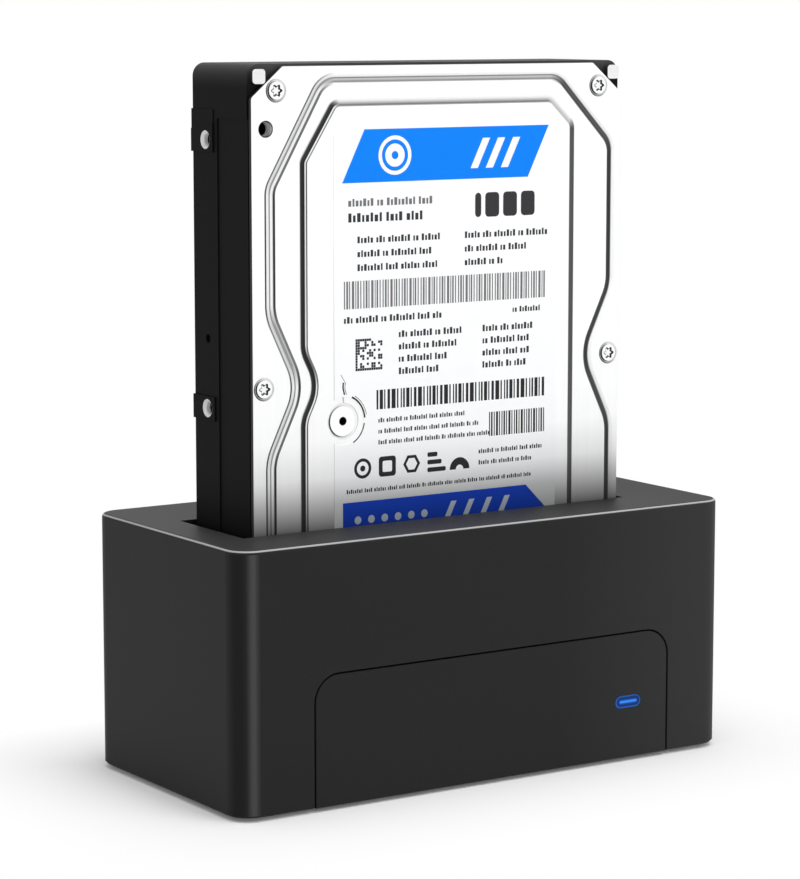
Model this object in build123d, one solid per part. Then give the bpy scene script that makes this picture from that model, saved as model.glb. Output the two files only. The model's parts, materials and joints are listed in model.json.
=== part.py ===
"""Hard drive docking station with a 3.5 inch drive standing in its bay.

Frame: origin on the floor under the middle of the dock, +Z up, the front of the dock faces -Y and
+X is to the right as seen from the front. Lengths are millimetres.
The drive's pieces are drawn as the drive lies on a table, board side down and connector end at y = 0,
and are then stood up in the bay.
"""
from build123d import *
import math
import os

# Dock housing
dock_width = 134.0
dock_depth = 66.0
dock_height = 60.0
foot_proud = 1.0
wall = 2.2
top_wall = 2.4
corner_radius = 5.5
top_edge_radius = 0.9
bottom_edge_radius = 0.5
overrun = 1.0

# Docked drive
drive_width = 101.6
drive_thickness = 26.1
drive_length = 147.0
drive_bottom = 16.4

# Shares of the room beside the drive and before and behind it
drive_left_share = 65 / 162
drive_front_share = 155 / 399
bay_left_share = 7 / 81

# Drive bay
bay_gap_right = 0.5
bay_gap_front = 0.4
bay_gap_back = 1.8
bay_wall = 1.8
bay_floor = 1.6
seat_gap = 0.3
guide_gap = 0.4
guide_rib_width = 3.0
guide_rib_drop = 14.0
web_thickness = 1.4
web_height = 22.0

left_x = -dock_width / 2
right_x = dock_width / 2
front_y = -dock_depth / 2
rear_y = dock_depth / 2
drive_left = left_x + drive_left_share * (dock_width - drive_width)
drive_right = drive_left + drive_width
drive_front = front_y + drive_front_share * (dock_depth - drive_thickness)
drive_rear = drive_front + drive_thickness
slot_left = drive_left - bay_left_share * (dock_width - drive_width)
slot_right = drive_right + bay_gap_right
slot_front = drive_front - bay_gap_front
slot_rear = drive_rear + bay_gap_back
bay_floor_top = drive_bottom - seat_gap
bay_floor_bottom = bay_floor_top - bay_floor
front_room = slot_front - bay_wall - front_y
rear_room = rear_y - bay_wall - slot_rear

# Base plate, feet and screws of the dock
base_thickness = 2.0
base_gap = 0.15
base_top = foot_proud + base_thickness
post_radius = 3.2
post_inset = 3.6
base_screw_head_radius = 2.4
base_screw_head_height = 1.2
base_screw_radius = 1.2
base_screw_length = 9.0
screw_gap = 0.1
screw_recess_share = 0.45
screw_recess_depth_share = 0.6
foot_radius = 4.5
foot_recess = 0.8
foot_gap = 0.1
foot_inset_x = 15.0
foot_inset_y = 11.0
vent_length = 14.0
vent_width = 2.0
vent_pitch = 4.5
vent_count = 6
vent_centre_x = 24.0

# Main board and what stands on it
board_thickness = 1.6
board_side_gap = 8.0
board_end_gap = 1.5
standoff_height = 6.4
standoff_radius = 3.2
board_screw_radius = 1.05
board_screw_head_radius = 2.4
board_screw_head_height = 1.3
board_screw_length = 6.0
board_screw_inset_x = 6.0
board_screw_inset_y = 5.0
board_radius = 1.5
board_bottom = base_top + standoff_height
board_top = board_bottom + board_thickness
board_width = dock_width - 2 * wall - 2 * board_side_gap
board_front = front_y + wall + board_end_gap
board_rear = rear_y - wall - board_end_gap

# Front panel, light pipe and status light
panel_left_margin = 19.5
panel_right_margin = 17.1
panel_top = 30.5
panel_radius = 6.0
panel_thickness = 2.0
panel_seam = 0.45
panel_flange = 2.4
panel_flange_thickness = 1.2
panel_flange_gap = 0.1
light_inset = 11.3
light_z = 14.3
light_length = 7.2
light_height = 2.8
light_depth_share = 60 / 133
light_collar_share = 9 / 25
light_gap = 0.1
led_gap = 0.3
led_radius = 1.3
led_length_share = 46 / 133
led_rim = 0.25
led_rim_length = 0.9
led_lead = 0.5
led_lead_spread = 0.65
led_holder_width = 5.0
led_holder_wall = 0.8
panel_left = left_x + panel_left_margin
panel_right = right_x - panel_right_margin
panel_inner_y = front_y + wall + panel_flange_gap
light_x = panel_right - light_inset
light_depth = light_depth_share * front_room
led_length = led_length_share * front_room

# Drive connector pair
plug_centre = 33.8
plug_height = 3.5
pin_pitch = 1.27
signal_pins = 7
power_pins = 15
pin_gap = 6
blade_thickness = 1.2
blade_margin = 1.25
blade_key_height = 1.9
blade_key_width = 1.1
blade_tip = 1.0
blade_root = 5.8
blade_gap = 0.15
receptacle_half_length = 20.9
receptacle_depth = 4.8
receptacle_reach = 4.9
slot_bottom_gap = 0.6
receptacle_chamfer = 0.3
receptacle_floor_gap = 0.4
plug_half_length = 22.2
plug_post = 0.9
plug_plate_end = 9.5
plug_top = 6.2
contact_width = 0.5
contact_thickness = 0.25
contact_pad_thickness = 0.1
contact_tail = 1.0

# Chips and parts on the main board
bridge_side = 9.0
bridge_height = 1.1
bridge_lift = 0.1
bridge_chamfer = 0.2
bridge_dimple_inset = 1.1
bridge_dimple_radius = 0.3
bridge_x = 14.0
bridge_y = -4.0
lead_count = 12
lead_width = 0.3
lead_reach = 1.0
lead_thickness = 0.15
capacitor_base_radius = 1.23
capacitor_radius_share = 1 / 5
capacitor_height = 9.0
capacitor_groove = 0.35
capacitor_groove_lift = 1.6
capacitor_inset_x = 33.0
capacitor_pitch = 10.0
capacitor_count = 3
capacitor_place_share = 25 / 48
inductor_side = 7.0
inductor_height = 3.0
inductor_corner = 1.5
inductor_core_radius = 2.75
inductor_core_recess = 0.1
inductor_x = 30.0
inductor_y = 0.0
crystal_length = 8.0
crystal_width = 3.6
crystal_height = 2.6
crystal_corner_radius = 1.7
crystal_edge_radius = 0.45
crystal_x = 14.0
crystal_y = 5.5

# Rear sockets and power button
usb_inset = 45.0
usb_wide = 8.5
usb_tall = 7.8
usb_chamfer = 1.4
usb_upper_wide = 5.7
usb_upper_tall = 3.2
usb_shell = 1.1
usb_depth_share = 175 / 208
usb_back_wall = 1.5
usb_tongue_wide = 5.6
usb_tongue_tall = 3.2
usb_upper_tongue_wide = 4.2
usb_upper_tongue_tall = 1.0
usb_tongue_setback = 1.5
usb_insert_gap = 0.1
usb_insert_plate = 1.5
rear_recess = 0.4
socket_gap = 0.25
jack_x = 12.0
jack_width = 9.6
jack_height = 11.0
jack_depth_share = 5 / 8
jack_nose_radius = 4.1
jack_bore_radius = 3.1
jack_bore_share = 25 / 52
jack_pin_radius = 1.05
jack_pin_setback = 1.0
jack_chamfer = 1.0
jack_mouth_chamfer = 0.35
button_inset = 30.0
button_radius = 4.4
button_gap = 0.25
button_recess = 0.2
button_travel = 1.5
button_lip = 1.0
button_lip_thickness = 1.2
button_lip_gap = 0.2
button_rise = 6.6
button_dish = 0.4
plunger_radius = 1.5
plunger_gap = 0.2
switch_width = 8.0
switch_depth_share = 45 / 104
switch_height = 10.0
switch_chamfer = 0.8
plunger_stroke_gap = 0.6
capacitor_room = front_y + front_room - board_front
capacitor_radius = capacitor_base_radius + capacitor_radius_share * capacitor_room
usb_x = left_x + usb_inset
usb_depth = usb_depth_share * rear_room
jack_depth = jack_depth_share * rear_room
jack_bore_depth = jack_bore_share * rear_room
button_x = right_x - button_inset
switch_depth = switch_depth_share * rear_room

# Drive casting
boss_proud = 0.35
boss_low = 2.7
boss_high = 2.7
top_boss_high = 6.8
top_boss_step_back = 2.4
top_boss_step_front = 3.7
cast_boss_proud = 0.2
boss_height = 9.5
drive_corner_radius = 3.0
pocket_depth = 3.6
pocket_side = 7.2
pocket_end = 92.0
pocket_radius = 1.0
deck_thickness = 3.5
sheet = 0.9
gasket_thickness = 0.5
gasket_inset = 0.25
gasket_width = 0.75
plateau_step = 0.7
label_thickness = 0.1
platter_side = 3.3
platter_end = 3.0
arm_room = 49.0
platter_edge_gap = 0.7
cavity_side = 8.6
cavity_start = 12.0
cavity_waist = 76.0
cavity_radius = 5.0
side_hole_radius = 1.43
side_hole_depth = 4.2
side_hole_height = 6.35
side_hole_ends = (28.5, 70.1, 130.1)
side_hole_sink = 0.6
side_dimple_radius = 1.0
side_dimple_depth = 0.5
side_dimple_end = 85.8
base_hole_inset = 3.175
base_hole_ends = (41.28, 85.73)
base_hole_depth = 4.5
notch_gap = 0.4
side_step = 0.25
side_step_start = 11.0
side_step_inset = 12.0

# Drive cover
cover_side_gap = 0.25
cover_end_gap = 0.5
cover_corner_radius = 1.0
cover_cut_x = 8.0
cover_cut_y = 6.8
pad_side = 3.2
pad_radius = 0.8
pad_inset = 1.1
plateau_side = 12.9
plateau_right_side = 14.3
plateau_end = 8.0
plateau_start = 12.0
plateau_left_run = 8.4
plateau_left_drop = 13.2
plateau_right_run = 6.6
plateau_right_drop = 6.2
plateau_bulge = 3.7
plateau_bulge_half = 7.5
plateau_corner_radius = 3.0
plateau_bulge_radius = 8.0
plateau_taper = 64.0
channel_side = 5.4
channel_right_side = 3.2
channel_end = 3.6
channel_start = 5.0
channel_left_run = 13.6
channel_left_drop = 23.6
channel_right_run = 15.0
channel_right_drop = 15.6
channel_bulge = 7.6
channel_bulge_half = 16.0
channel_radius = 5.5
channel_bulge_radius = 11.0
channel_width = 2.3
channel_depth = 0.45
channel_draft = 0.35
channel_bottom_run = 12.0
waist_y = 76.0
waist_right_y = 78.4
vent_hole_x = 23.5
vent_hole_y = 67.6
vent_hole_radius = 0.9
vent_ring_radius = 4.4
vent_ring_width = 0.5
vent_ring_depth = 0.25
vent_tail_length = 4.5
tool_hole_x = 4.3
tool_hole_y = 132.9
tool_hole_radius = 1.8
cover_screw_inset_x = 7.0
cover_screw_inset_y = 5.8
cover_waist_screw_inset = 3.5
cover_low_screw_inset_x = 5.6
cover_low_screw_inset_y = 6.2
cover_dimple_radius = 2.6
cover_dimple_depth = 0.4
cover_screw_head_radius = 2.3
cover_screw_head_height = 0.5
cover_screw_radius = 1.1
cover_screw_length = 7.0
cover_hole_gap = 0.2

# Label on the cover
label_left = 21.2
label_right_inset = 19.4
label_low = 14.0
label_high = 133.0
label_radius = 2.0
label_notch_radius = 5.8

# Drive board
drive_board_thickness = 1.0
drive_board_lift = 0.8
drive_board_gap = 0.6
drive_board_start = 6.2
drive_board_step = 34.0
drive_board_step_y = 56.0
drive_board_radius = 1.0
drive_board_screw_radius = 1.0
drive_board_screw_head_radius = 2.0
drive_board_screw_head_height = 0.6
drive_board_screw_length = 4.4
drive_board_boss_radius = 2.8
chip_height = 1.3
controller_side = 13.6
memory_side = 9.4
motor_driver_side = 8.5

# Spindle, platter and head arm
motor_base_radius = 17.0
motor_base_height = 1.2
shaft_radius = 2.5
shaft_height = 13.6
running_gap = 0.05
rotor_lift = 0.3
hub_flange_radius = 15.5
hub_flange_height = 3.4
hub_radius = 12.4
platter_thickness = 1.27
platter_fit = 0.05
clamp_thickness = 1.0
clamp_bore_radius = 4.0
clamp_screw_ring = 9.4
clamp_screw_count = 6
clamp_screw_radius = 0.9
clamp_screw_head_radius = 1.7
clamp_screw_head_height = 0.7
clamp_screw_length = 3.0
pivot_inset = 35.6
pivot_y = 34.0
pivot_radius = 3.0
pivot_height = 9.8
arm_hub_radius = 6.4
head_park_x = 19.9
arm_park_angle = 152.4
arm_root_width = 9.0
arm_tip_width = 3.2
arm_plate = 0.7
arm_platter_gap = 0.45
arm_hub_margin = 1.2
coil_inner_radius = 10.5
coil_outer_radius = 20.0
coil_half_angle = 22.0
coil_winding = 2.2
coil_thickness = 1.3
fork_width = 2.2
fork_reach = 9.2
yoke_inner_radius = 8.6
yoke_outer_radius = 21.0
yoke_thickness = 2.0
yoke_gap = 0.6
yoke_first_angle = 14.0
yoke_last_angle = -106.0
yoke_post_radius = 1.6
yoke_post_reach = 17.5
yoke_post_margin = 6.0
ramp_gap = 0.5
ramp_width = 3.6
ramp_length = 7.0
ramp_reach = 1.6

deck_top = pocket_depth + deck_thickness
plateau_top = drive_thickness - label_thickness
flange_top = plateau_top - plateau_step
flange_bottom = flange_top - sheet
casting_top = flange_bottom - gasket_thickness
spindle_x = drive_width / 2
platter_radius = min(drive_width / 2 - platter_side, (drive_length - platter_end - arm_room) / 2)
spindle_y = arm_room + platter_radius
pivot_x = drive_width - pivot_inset
arm_length = (head_park_x - pivot_x) / math.cos(math.radians(arm_park_angle))
label_right = drive_width - label_right_inset
base_hole_spacing = drive_width - 2 * base_hole_inset
platter_low = deck_top + motor_base_height + rotor_lift + hub_flange_height
platter_high = platter_low + platter_thickness


def block(x, y, z):
    """Box between the low and high values given for each axis."""
    size = [high - low for low, high in (x, y, z)]
    return Pos(x[0], y[0], z[0]) * Box(*size, align=(Align.MIN, Align.MIN, Align.MIN))


def rounded_block(x, y, z, radius):
    """Upright block with rounded vertical edges."""
    outline = RectangleRounded(x[1] - x[0], y[1] - y[0], radius)
    return Pos((x[0] + x[1]) / 2, (y[0] + y[1]) / 2, z[0]) * extrude(outline, z[1] - z[0])


def rod(x, y, z, radius):
    """Upright cylinder from the low to the high value of z."""
    return Pos(x, y, z[0]) * Cylinder(radius, z[1] - z[0], align=(Align.CENTER, Align.CENTER, Align.MIN))


def rod_along_y(x, z, y, radius):
    """Cylinder along Y from the low to the high value of y."""
    return Pos(x, y[0], z) * Rot(-90, 0, 0) * rod(0, 0, (0, y[1] - y[0]), radius)


def rod_along_x(y, z, x, radius):
    """Cylinder along X from the low to the high value of x."""
    return Pos(x[0], y, z) * Rot(0, 90, 0) * rod(0, 0, (0, x[1] - x[0]), radius)


def slab_along_y(outline, y):
    """Outline drawn in X and Z, made solid from the low to the high value of y."""
    return Pos(0, y[1], 0) * Rot(90, 0, 0) * extrude(outline, y[1] - y[0])


def screw(shank_radius, length, head_radius, head_height):
    """Screw with its head above z = 0 and a six-sided recess in it."""
    head = rod(0, 0, (0, head_height), head_radius)
    recess = RegularPolygon(head_radius * screw_recess_share, 6)
    recess_depth = head_height * screw_recess_depth_share
    head -= Pos(0, 0, head_height - recess_depth) * extrude(recess, head_height)
    return head + rod(0, 0, (-length, 0), shank_radius)


def group(pieces):
    """Several separate solids in one node."""
    solids = [solid for piece in pieces for solid in piece.solids()]
    return Compound(children=solids)


def corners(half_x, half_y):
    """The four corners of a rectangle about the origin."""
    return [(side * half_x, end * half_y) for side in (-1, 1) for end in (-1, 1)]


def in_bay(piece):
    """Stands a piece of the drive up in the bay, cover to the front and connector end down."""
    stand = Location((drive_left, drive_rear, drive_bottom), (90, 0, 0))
    solids = [stand * solid for solid in piece.solids()]
    return solids[0] if len(solids) == 1 else Compound(children=solids)


def on_drive(x, y, z):
    """Dock coordinates of a point of the lying drive."""
    return (drive_left + x, drive_rear - z, drive_bottom + y)


post_places = corners(dock_width / 2 - wall - post_inset, dock_depth / 2 - wall - post_inset)
foot_places = corners(dock_width / 2 - foot_inset_x, dock_depth / 2 - foot_inset_y)
board_screw_places = corners(board_width / 2 - board_screw_inset_x,
                             (board_rear - board_front) / 2 - board_screw_inset_y)


def panel_outline(grow):
    """Rounded front panel outline with its lower edge open to the floor side."""
    low = foot_proud
    high = panel_top + grow
    radius = panel_radius + grow
    left = panel_left - grow
    right = panel_right + grow
    path = FilletPolyline((left, low), (left, high), (right, high), (right, low), radius=radius)
    return make_face(path + Line((right, low), (left, low)))


def usb_outline(grow):
    """Opening of the data socket: chamfered lower part with a narrower part on top."""
    low = board_top + usb_shell - grow
    shoulder = board_top + usb_shell + usb_tall + grow
    high = shoulder + usb_upper_tall
    half = usb_wide / 2 + grow
    upper = usb_upper_wide / 2 + grow
    side = [(half, low), (half, shoulder - usb_chamfer), (max(half - usb_chamfer, upper), shoulder),
            (upper, shoulder), (upper, high)]
    if half - usb_chamfer <= upper:
        side.pop(3)
    points = side + [(-x, z) for x, z in reversed(side)]
    return Pos(usb_x, 0) * make_face(Polyline(*points, close=True))


def shell_webs():
    """Stiffening webs between the bay and the front and rear walls."""
    top = dock_height - top_wall
    z = (top - web_height, top)
    webs = []
    for x in (slot_left + web_height, (slot_left + slot_right) / 2, slot_right - web_height):
        webs.append(block((x, x + web_thickness), (front_y + wall, slot_front - bay_wall), z))
        webs.append(block((x, x + web_thickness), (slot_rear + bay_wall, rear_y - wall), z))
    return webs


def guide_ribs():
    """Upright ribs low in the bay that centre the drive where the slot is loose."""
    z = (bay_floor_top, dock_height - guide_rib_drop)
    ribs = []
    third = drive_width / 3
    for x in (drive_left + third / 2, drive_left + 2 * third, drive_right - third / 4):
        ribs.append(block((x, x + guide_rib_width), (drive_rear + guide_gap, slot_rear), z))
    side = (slot_left, drive_left - guide_gap)
    half = guide_rib_width / 2
    for y in (drive_front + drive_thickness / 4, drive_rear - drive_thickness / 4):
        ribs.append(block(side, (y - half, y + half), z))
    return ribs


def receptacle_room(gap):
    """Upright block around the receptacle, wider than it by a gap on every side."""
    x = (drive_left + plug_centre - receptacle_half_length - gap,
         drive_left + plug_centre + receptacle_half_length + gap)
    y = (drive_rear - plug_height - receptacle_depth / 2 - gap,
         drive_rear - plug_height + receptacle_depth / 2 + gap)
    return block(x, y, (board_top, drive_bottom + receptacle_reach))


def dock_shell():
    """Moulded housing: outer skin, bay, guide ribs, webs, screw posts and cut-outs."""
    outer = rounded_block((left_x, right_x), (front_y, rear_y), (foot_proud, dock_height), corner_radius)
    outer = fillet(outer.faces().sort_by(Axis.Z)[-1].edges(), top_edge_radius)
    outer = chamfer(outer.faces().sort_by(Axis.Z)[0].edges(), bottom_edge_radius)
    room = rounded_block((left_x + wall, right_x - wall), (front_y + wall, rear_y - wall),
                         (foot_proud - overrun, dock_height - top_wall), corner_radius - wall)
    shell = outer - room
    bay_x = (slot_left - bay_wall, slot_right + bay_wall)
    bay_y = (slot_front - bay_wall, slot_rear + bay_wall)
    shell += block(bay_x, bay_y, (bay_floor_bottom, dock_height - top_wall))
    for web in shell_webs():
        shell += web
    for x, y in post_places:
        shell += rod(x, y, (base_top, dock_height - top_wall), post_radius)
        corner = block(sorted((x, math.copysign(dock_width / 2 - wall, x))),
                       sorted((y, math.copysign(dock_depth / 2 - wall, y))),
                       (base_top + web_height, dock_height - top_wall))
        shell += corner & room
    shell -= block((slot_left, slot_right), (slot_front, slot_rear), (bay_floor_top, dock_height + overrun))
    for rib in guide_ribs():
        shell += rib
    shell -= receptacle_room(receptacle_floor_gap)
    for x, y in post_places:
        shell -= rod(x, y, (base_top - overrun, base_top + base_screw_length + overrun),
                     base_screw_radius + screw_gap)
    shell -= slab_along_y(panel_outline(panel_seam), (front_y - overrun, front_y + wall + overrun))
    below = (foot_proud - overrun, foot_proud + overrun)
    shell -= block((panel_left - panel_seam, panel_right + panel_seam),
                   (front_y - overrun, front_y + wall + overrun), below)
    rear = (rear_y - wall - overrun, rear_y + overrun)
    shell -= slab_along_y(usb_outline(usb_shell + socket_gap), rear)
    shell -= rod_along_y(jack_x, jack_centre_z(), rear, jack_nose_radius + socket_gap)
    shell -= rod_along_y(button_x, button_centre_z(), rear, button_radius + button_gap)
    return shell


def base_plate():
    """Bottom plate with board posts, foot recesses, screw holes and vents."""
    gap = wall + base_gap
    plate = rounded_block((left_x + gap, right_x - gap), (front_y + gap, rear_y - gap),
                          (foot_proud, base_top), corner_radius - gap)
    for x, y in board_screw_places:
        plate += rod(x, y, (base_top, board_bottom), standoff_radius)
        plate -= rod(x, y, (board_bottom - board_screw_length, board_bottom + overrun),
                     board_screw_radius + screw_gap)
    for x, y in foot_places:
        plate -= rod(x, y, (foot_proud - overrun, foot_proud + foot_recess), foot_radius + foot_gap)
    for x, y in post_places:
        plate -= rod(x, y, (foot_proud - overrun, base_top + overrun), base_screw_radius + screw_gap)
        plate -= rod(x, y, (foot_proud - overrun, foot_proud + base_screw_head_height),
                     base_screw_head_radius + screw_gap)
    for side in (-1, 1):
        for i in range(vent_count):
            y = (i - (vent_count - 1) / 2) * vent_pitch
            x = side * vent_centre_x
            plate -= block((x - vent_length / 2, x + vent_length / 2), (y - vent_width / 2, y + vent_width / 2),
                           (foot_proud - overrun, base_top + overrun))
    return plate


def rubber_feet():
    """Four round feet with a bevelled rim, set in the recesses of the base plate."""
    feet = []
    for x, y in foot_places:
        foot = rod(x, y, (0, foot_proud + foot_recess), foot_radius)
        feet.append(chamfer(foot.edges().sort_by(Axis.Z)[:1], foot_proud / 2))
    return group(feet)


def base_screws():
    """Four screws that hold the base plate to the posts of the housing."""
    one = screw(base_screw_radius, base_screw_length, base_screw_head_radius, base_screw_head_height)
    up = foot_proud + base_screw_head_height
    return group([Pos(x, y, up) * Rot(180, 0, 0) * one for x, y in post_places])


def main_board():
    """Circuit board on the posts, with screw holes and room for the receptacle tails."""
    board = block((-board_width / 2, board_width / 2), (board_front, board_rear), (board_bottom, board_top))
    board = fillet(board.edges().filter_by(Axis.Z), board_radius)
    for x, y in board_screw_places:
        board -= rod(x, y, (board_bottom - overrun, board_top + overrun), board_screw_radius + screw_gap)
    for pin_x in pin_places():
        x, y, z = on_drive(pin_x, 0, contact_plane())
        board -= contact_strip(x, y, (board_bottom - overrun, board_top + overrun), screw_gap)
    return board


def board_screws():
    """Four screws that hold the board down."""
    one = screw(board_screw_radius, board_screw_length - screw_gap, board_screw_head_radius,
                board_screw_head_height)
    return group([Pos(x, y, board_top) * one for x, y in board_screw_places])


def front_panel():
    """Flush lower panel, with a flange behind the housing wall and the light's opening."""
    panel = slab_along_y(panel_outline(0), (front_y, front_y + panel_thickness))
    panel = chamfer(panel.faces().sort_by(Axis.Y)[0].edges(), panel_flange_gap)
    panel += slab_along_y(panel_outline(0), (front_y + panel_thickness, panel_inner_y))
    flange_y = (panel_inner_y, panel_inner_y + panel_flange_thickness)
    flange = slab_along_y(panel_outline(panel_flange), flange_y)
    keep = block((left_x, right_x), (front_y, rear_y), (base_top + base_gap, dock_height))
    panel += flange & keep
    inner = block((left_x, right_x), (front_y + wall, rear_y), (foot_proud - overrun, base_top + base_gap))
    panel -= inner
    pill = SlotOverall(light_length + 2 * light_gap, light_height + 2 * light_gap)
    panel -= slab_along_y(Pos(light_x, light_z) * pill, (front_y - overrun, rear_y))
    return panel


def light_pipe():
    """Clear pill that carries the status light to the front, with a collar behind the panel."""
    place = Pos(light_x, light_z)
    pill = place * SlotOverall(light_length, light_height)
    wide_pill = place * SlotOverall(light_length + led_radius, light_height + led_radius)
    flange_end = panel_inner_y + panel_flange_thickness
    pipe_end = front_y + light_depth
    collar_end = flange_end + light_collar_share * (pipe_end - flange_end)
    return slab_along_y(pill, (front_y, pipe_end)) + slab_along_y(wide_pill, (flange_end, collar_end))


def led_base_y():
    """Rear face of the status light's body."""
    return front_y + light_depth + led_gap + led_length


def status_led():
    """Round light lying on its side, with a dome, a rim and two bent leads."""
    base = led_base_y()
    dome = base - led_length + led_radius
    body = rod_along_y(light_x, light_z, (dome, base), led_radius)
    body += Pos(light_x, dome, light_z) * Sphere(led_radius)
    body += rod_along_y(light_x, light_z, (base - led_rim_length, base), led_radius + led_rim)
    for side in (-1, 1):
        x = light_x + side * led_lead_spread
        span = (x - led_lead / 2, x + led_lead / 2)
        reach = base + led_holder_wall + led_lead
        body += block(span, (base, reach), (light_z - led_lead / 2, light_z + led_lead / 2))
        body += block(span, (reach - led_lead, reach), (board_top, light_z + led_lead / 2))
    return body


def led_holder():
    """Cradle block that carries the light above the board."""
    end = led_base_y() - led_rim_length - led_gap
    y = (front_y + light_depth + light_gap, end)
    holder = block((light_x - led_holder_width / 2, light_x + led_holder_width / 2), y, (board_top, light_z))
    holder -= rod_along_y(light_x, light_z, (y[0] - overrun, y[1] + overrun), led_radius + light_gap)
    return holder


def pin_places():
    """Positions of the connector pins across the drive, signal pins first."""
    total = signal_pins + pin_gap - 1 + power_pins
    first = plug_centre - (total - 1) * pin_pitch / 2
    signal = [first + i * pin_pitch for i in range(signal_pins)]
    power = [first + (signal_pins + pin_gap - 1 + i) * pin_pitch for i in range(power_pins)]
    return signal + power


def blade_spans():
    """Low and high edge of the signal blade and of the power blade across the drive."""
    pins = pin_places()
    groups = (pins[:signal_pins], pins[signal_pins:])
    return [(pins[0] - blade_margin, pins[-1] + blade_margin) for pins in groups]


def blade(span, y, gap):
    """One connector blade with its key at the high end, grown by a gap."""
    z = (plug_height - blade_thickness / 2 - gap, plug_height + blade_thickness / 2 + gap)
    plate = block((span[0] - gap, span[1] + gap), y, z)
    key = block((span[1] - blade_key_width - gap, span[1] + gap), y,
                (z[0], plug_height - blade_thickness / 2 + blade_key_height + gap))
    return plate + key


def contact_plane():
    """Height of the dock's contact strips above the drive's mounting face."""
    return plug_height - blade_thickness / 2 - blade_gap - contact_thickness / 2


def contact_strip(x, y, z, gap):
    """Upright strip of one contact, grown by a gap."""
    half = contact_width / 2 + gap
    thick = contact_thickness / 2 + gap
    return block((x - half, x + half), (y - thick, y + thick), z)


def sata_receptacle():
    """Upright socket on the board with two keyed slots and a groove for every contact."""
    body = receptacle_room(0)
    body = chamfer(body.edges().group_by(Axis.Z)[-1], receptacle_chamfer)
    for span in blade_spans():
        body -= in_bay(blade(span, (blade_tip - slot_bottom_gap, receptacle_reach + overrun), blade_gap))
    groove_z = (board_top - overrun, drive_bottom + receptacle_reach + overrun)
    for pin_x in pin_places():
        x, y, z = on_drive(pin_x, 0, contact_plane())
        body -= contact_strip(x, y, groove_z, screw_gap / 2)
    return body


def sata_contacts():
    """Contact strips standing in the receptacle's grooves, with tails through the board."""
    strips = []
    top = drive_bottom + receptacle_reach - slot_bottom_gap
    for pin_x in pin_places():
        x, y, z = on_drive(pin_x, 0, contact_plane())
        strips.append(contact_strip(x, y, (board_bottom - contact_tail, top), 0))
    return group(strips)


def bridge_chip():
    """Flat square controller chip with a pin-one dimple."""
    low = board_top + bridge_lift
    chip = block((bridge_x - bridge_side / 2, bridge_x + bridge_side / 2),
                 (bridge_y - bridge_side / 2, bridge_y + bridge_side / 2), (low, low + bridge_height))
    chip = chamfer(chip.edges().filter_by(Axis.Z), bridge_chamfer)
    dimple = bridge_side / 2 - bridge_dimple_inset
    dimple_z = (low + bridge_height - bridge_lift, low + bridge_height + overrun)
    return chip - rod(bridge_x - dimple, bridge_y + dimple, dimple_z, bridge_dimple_radius)


def chip_leads():
    """Rows of leads on the four sides of the controller chip, soldered to the board."""
    leads = []
    pitch = (bridge_side - 2 * bridge_height) / (lead_count - 1)
    lead = block((bridge_side / 2, bridge_side / 2 + lead_reach), (-lead_width / 2, lead_width / 2),
                 (board_top, board_top + lead_thickness))
    for turn in range(4):
        for i in range(lead_count):
            along = (i - (lead_count - 1) / 2) * pitch
            leads.append(Pos(bridge_x, bridge_y, 0) * Rot(0, 0, 90 * turn) * Pos(0, along, 0) * lead)
    return group(leads)


def capacitors():
    """Row of upright capacitors with a rolled groove, behind the front panel."""
    cans = []
    y = board_front + capacitor_place_share * capacitor_room
    for i in range(capacitor_count):
        x = left_x + capacitor_inset_x + i * capacitor_pitch
        neck = board_top + capacitor_groove_lift
        shoulder = neck + 2 * capacitor_groove
        can = rod(x, y, (board_top, neck), capacitor_radius)
        can += rod(x, y, (neck, shoulder), capacitor_radius - capacitor_groove)
        can += rod(x, y, (shoulder, board_top + capacitor_height), capacitor_radius)
        cans.append(can)
    return group(cans)


def inductor():
    """Shielded square inductor with cut corners and a round core face."""
    half = inductor_side / 2
    body = block((inductor_x - half, inductor_x + half), (inductor_y - half, inductor_y + half),
                 (board_top, board_top + inductor_height))
    body = chamfer(body.edges().filter_by(Axis.Z), inductor_corner)
    core_z = (board_top + inductor_height - inductor_core_recess, board_top + inductor_height + overrun)
    return body - rod(inductor_x, inductor_y, core_z, inductor_core_radius)


def crystal():
    """Low metal can of the clock crystal."""
    can = rounded_block((crystal_x - crystal_length / 2, crystal_x + crystal_length / 2),
                        (crystal_y - crystal_width / 2, crystal_y + crystal_width / 2),
                        (board_top, board_top + crystal_height), crystal_corner_radius)
    return fillet(can.edges().group_by(Axis.Z)[-1], crystal_edge_radius)


def usb_socket():
    """Metal shell of the data socket, open to the rear."""
    y = (rear_y - rear_recess - usb_depth, rear_y - rear_recess)
    shell = slab_along_y(usb_outline(usb_shell), y)
    shell -= slab_along_y(usb_outline(0), (y[0] + usb_back_wall, y[1] + overrun))
    return chamfer(shell.faces().sort_by(Axis.Y)[-1].inner_wires().edges(), usb_shell / 4)


def usb_insert():
    """Two insulating tongues inside the data socket, on its back wall."""
    y = (rear_y - rear_recess - usb_depth + usb_back_wall, rear_y - rear_recess - usb_tongue_setback)
    low = board_top + usb_shell
    middle = low + usb_tall / 2
    lower = block((usb_x - usb_tongue_wide / 2, usb_x + usb_tongue_wide / 2), y,
                  (middle - usb_tongue_tall / 2, middle + usb_tongue_tall / 2))
    upper_z = low + usb_tall + usb_upper_tall / 2
    upper = block((usb_x - usb_upper_tongue_wide / 2, usb_x + usb_upper_tongue_wide / 2), y,
                  (upper_z - usb_upper_tongue_tall / 2, upper_z + usb_upper_tongue_tall / 2))
    plate = slab_along_y(usb_outline(-usb_insert_gap), (y[0], y[0] + usb_insert_plate))
    return lower + upper + plate


def jack_centre_z():
    """Height of the power jack's axis."""
    return board_top + jack_height / 2


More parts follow.
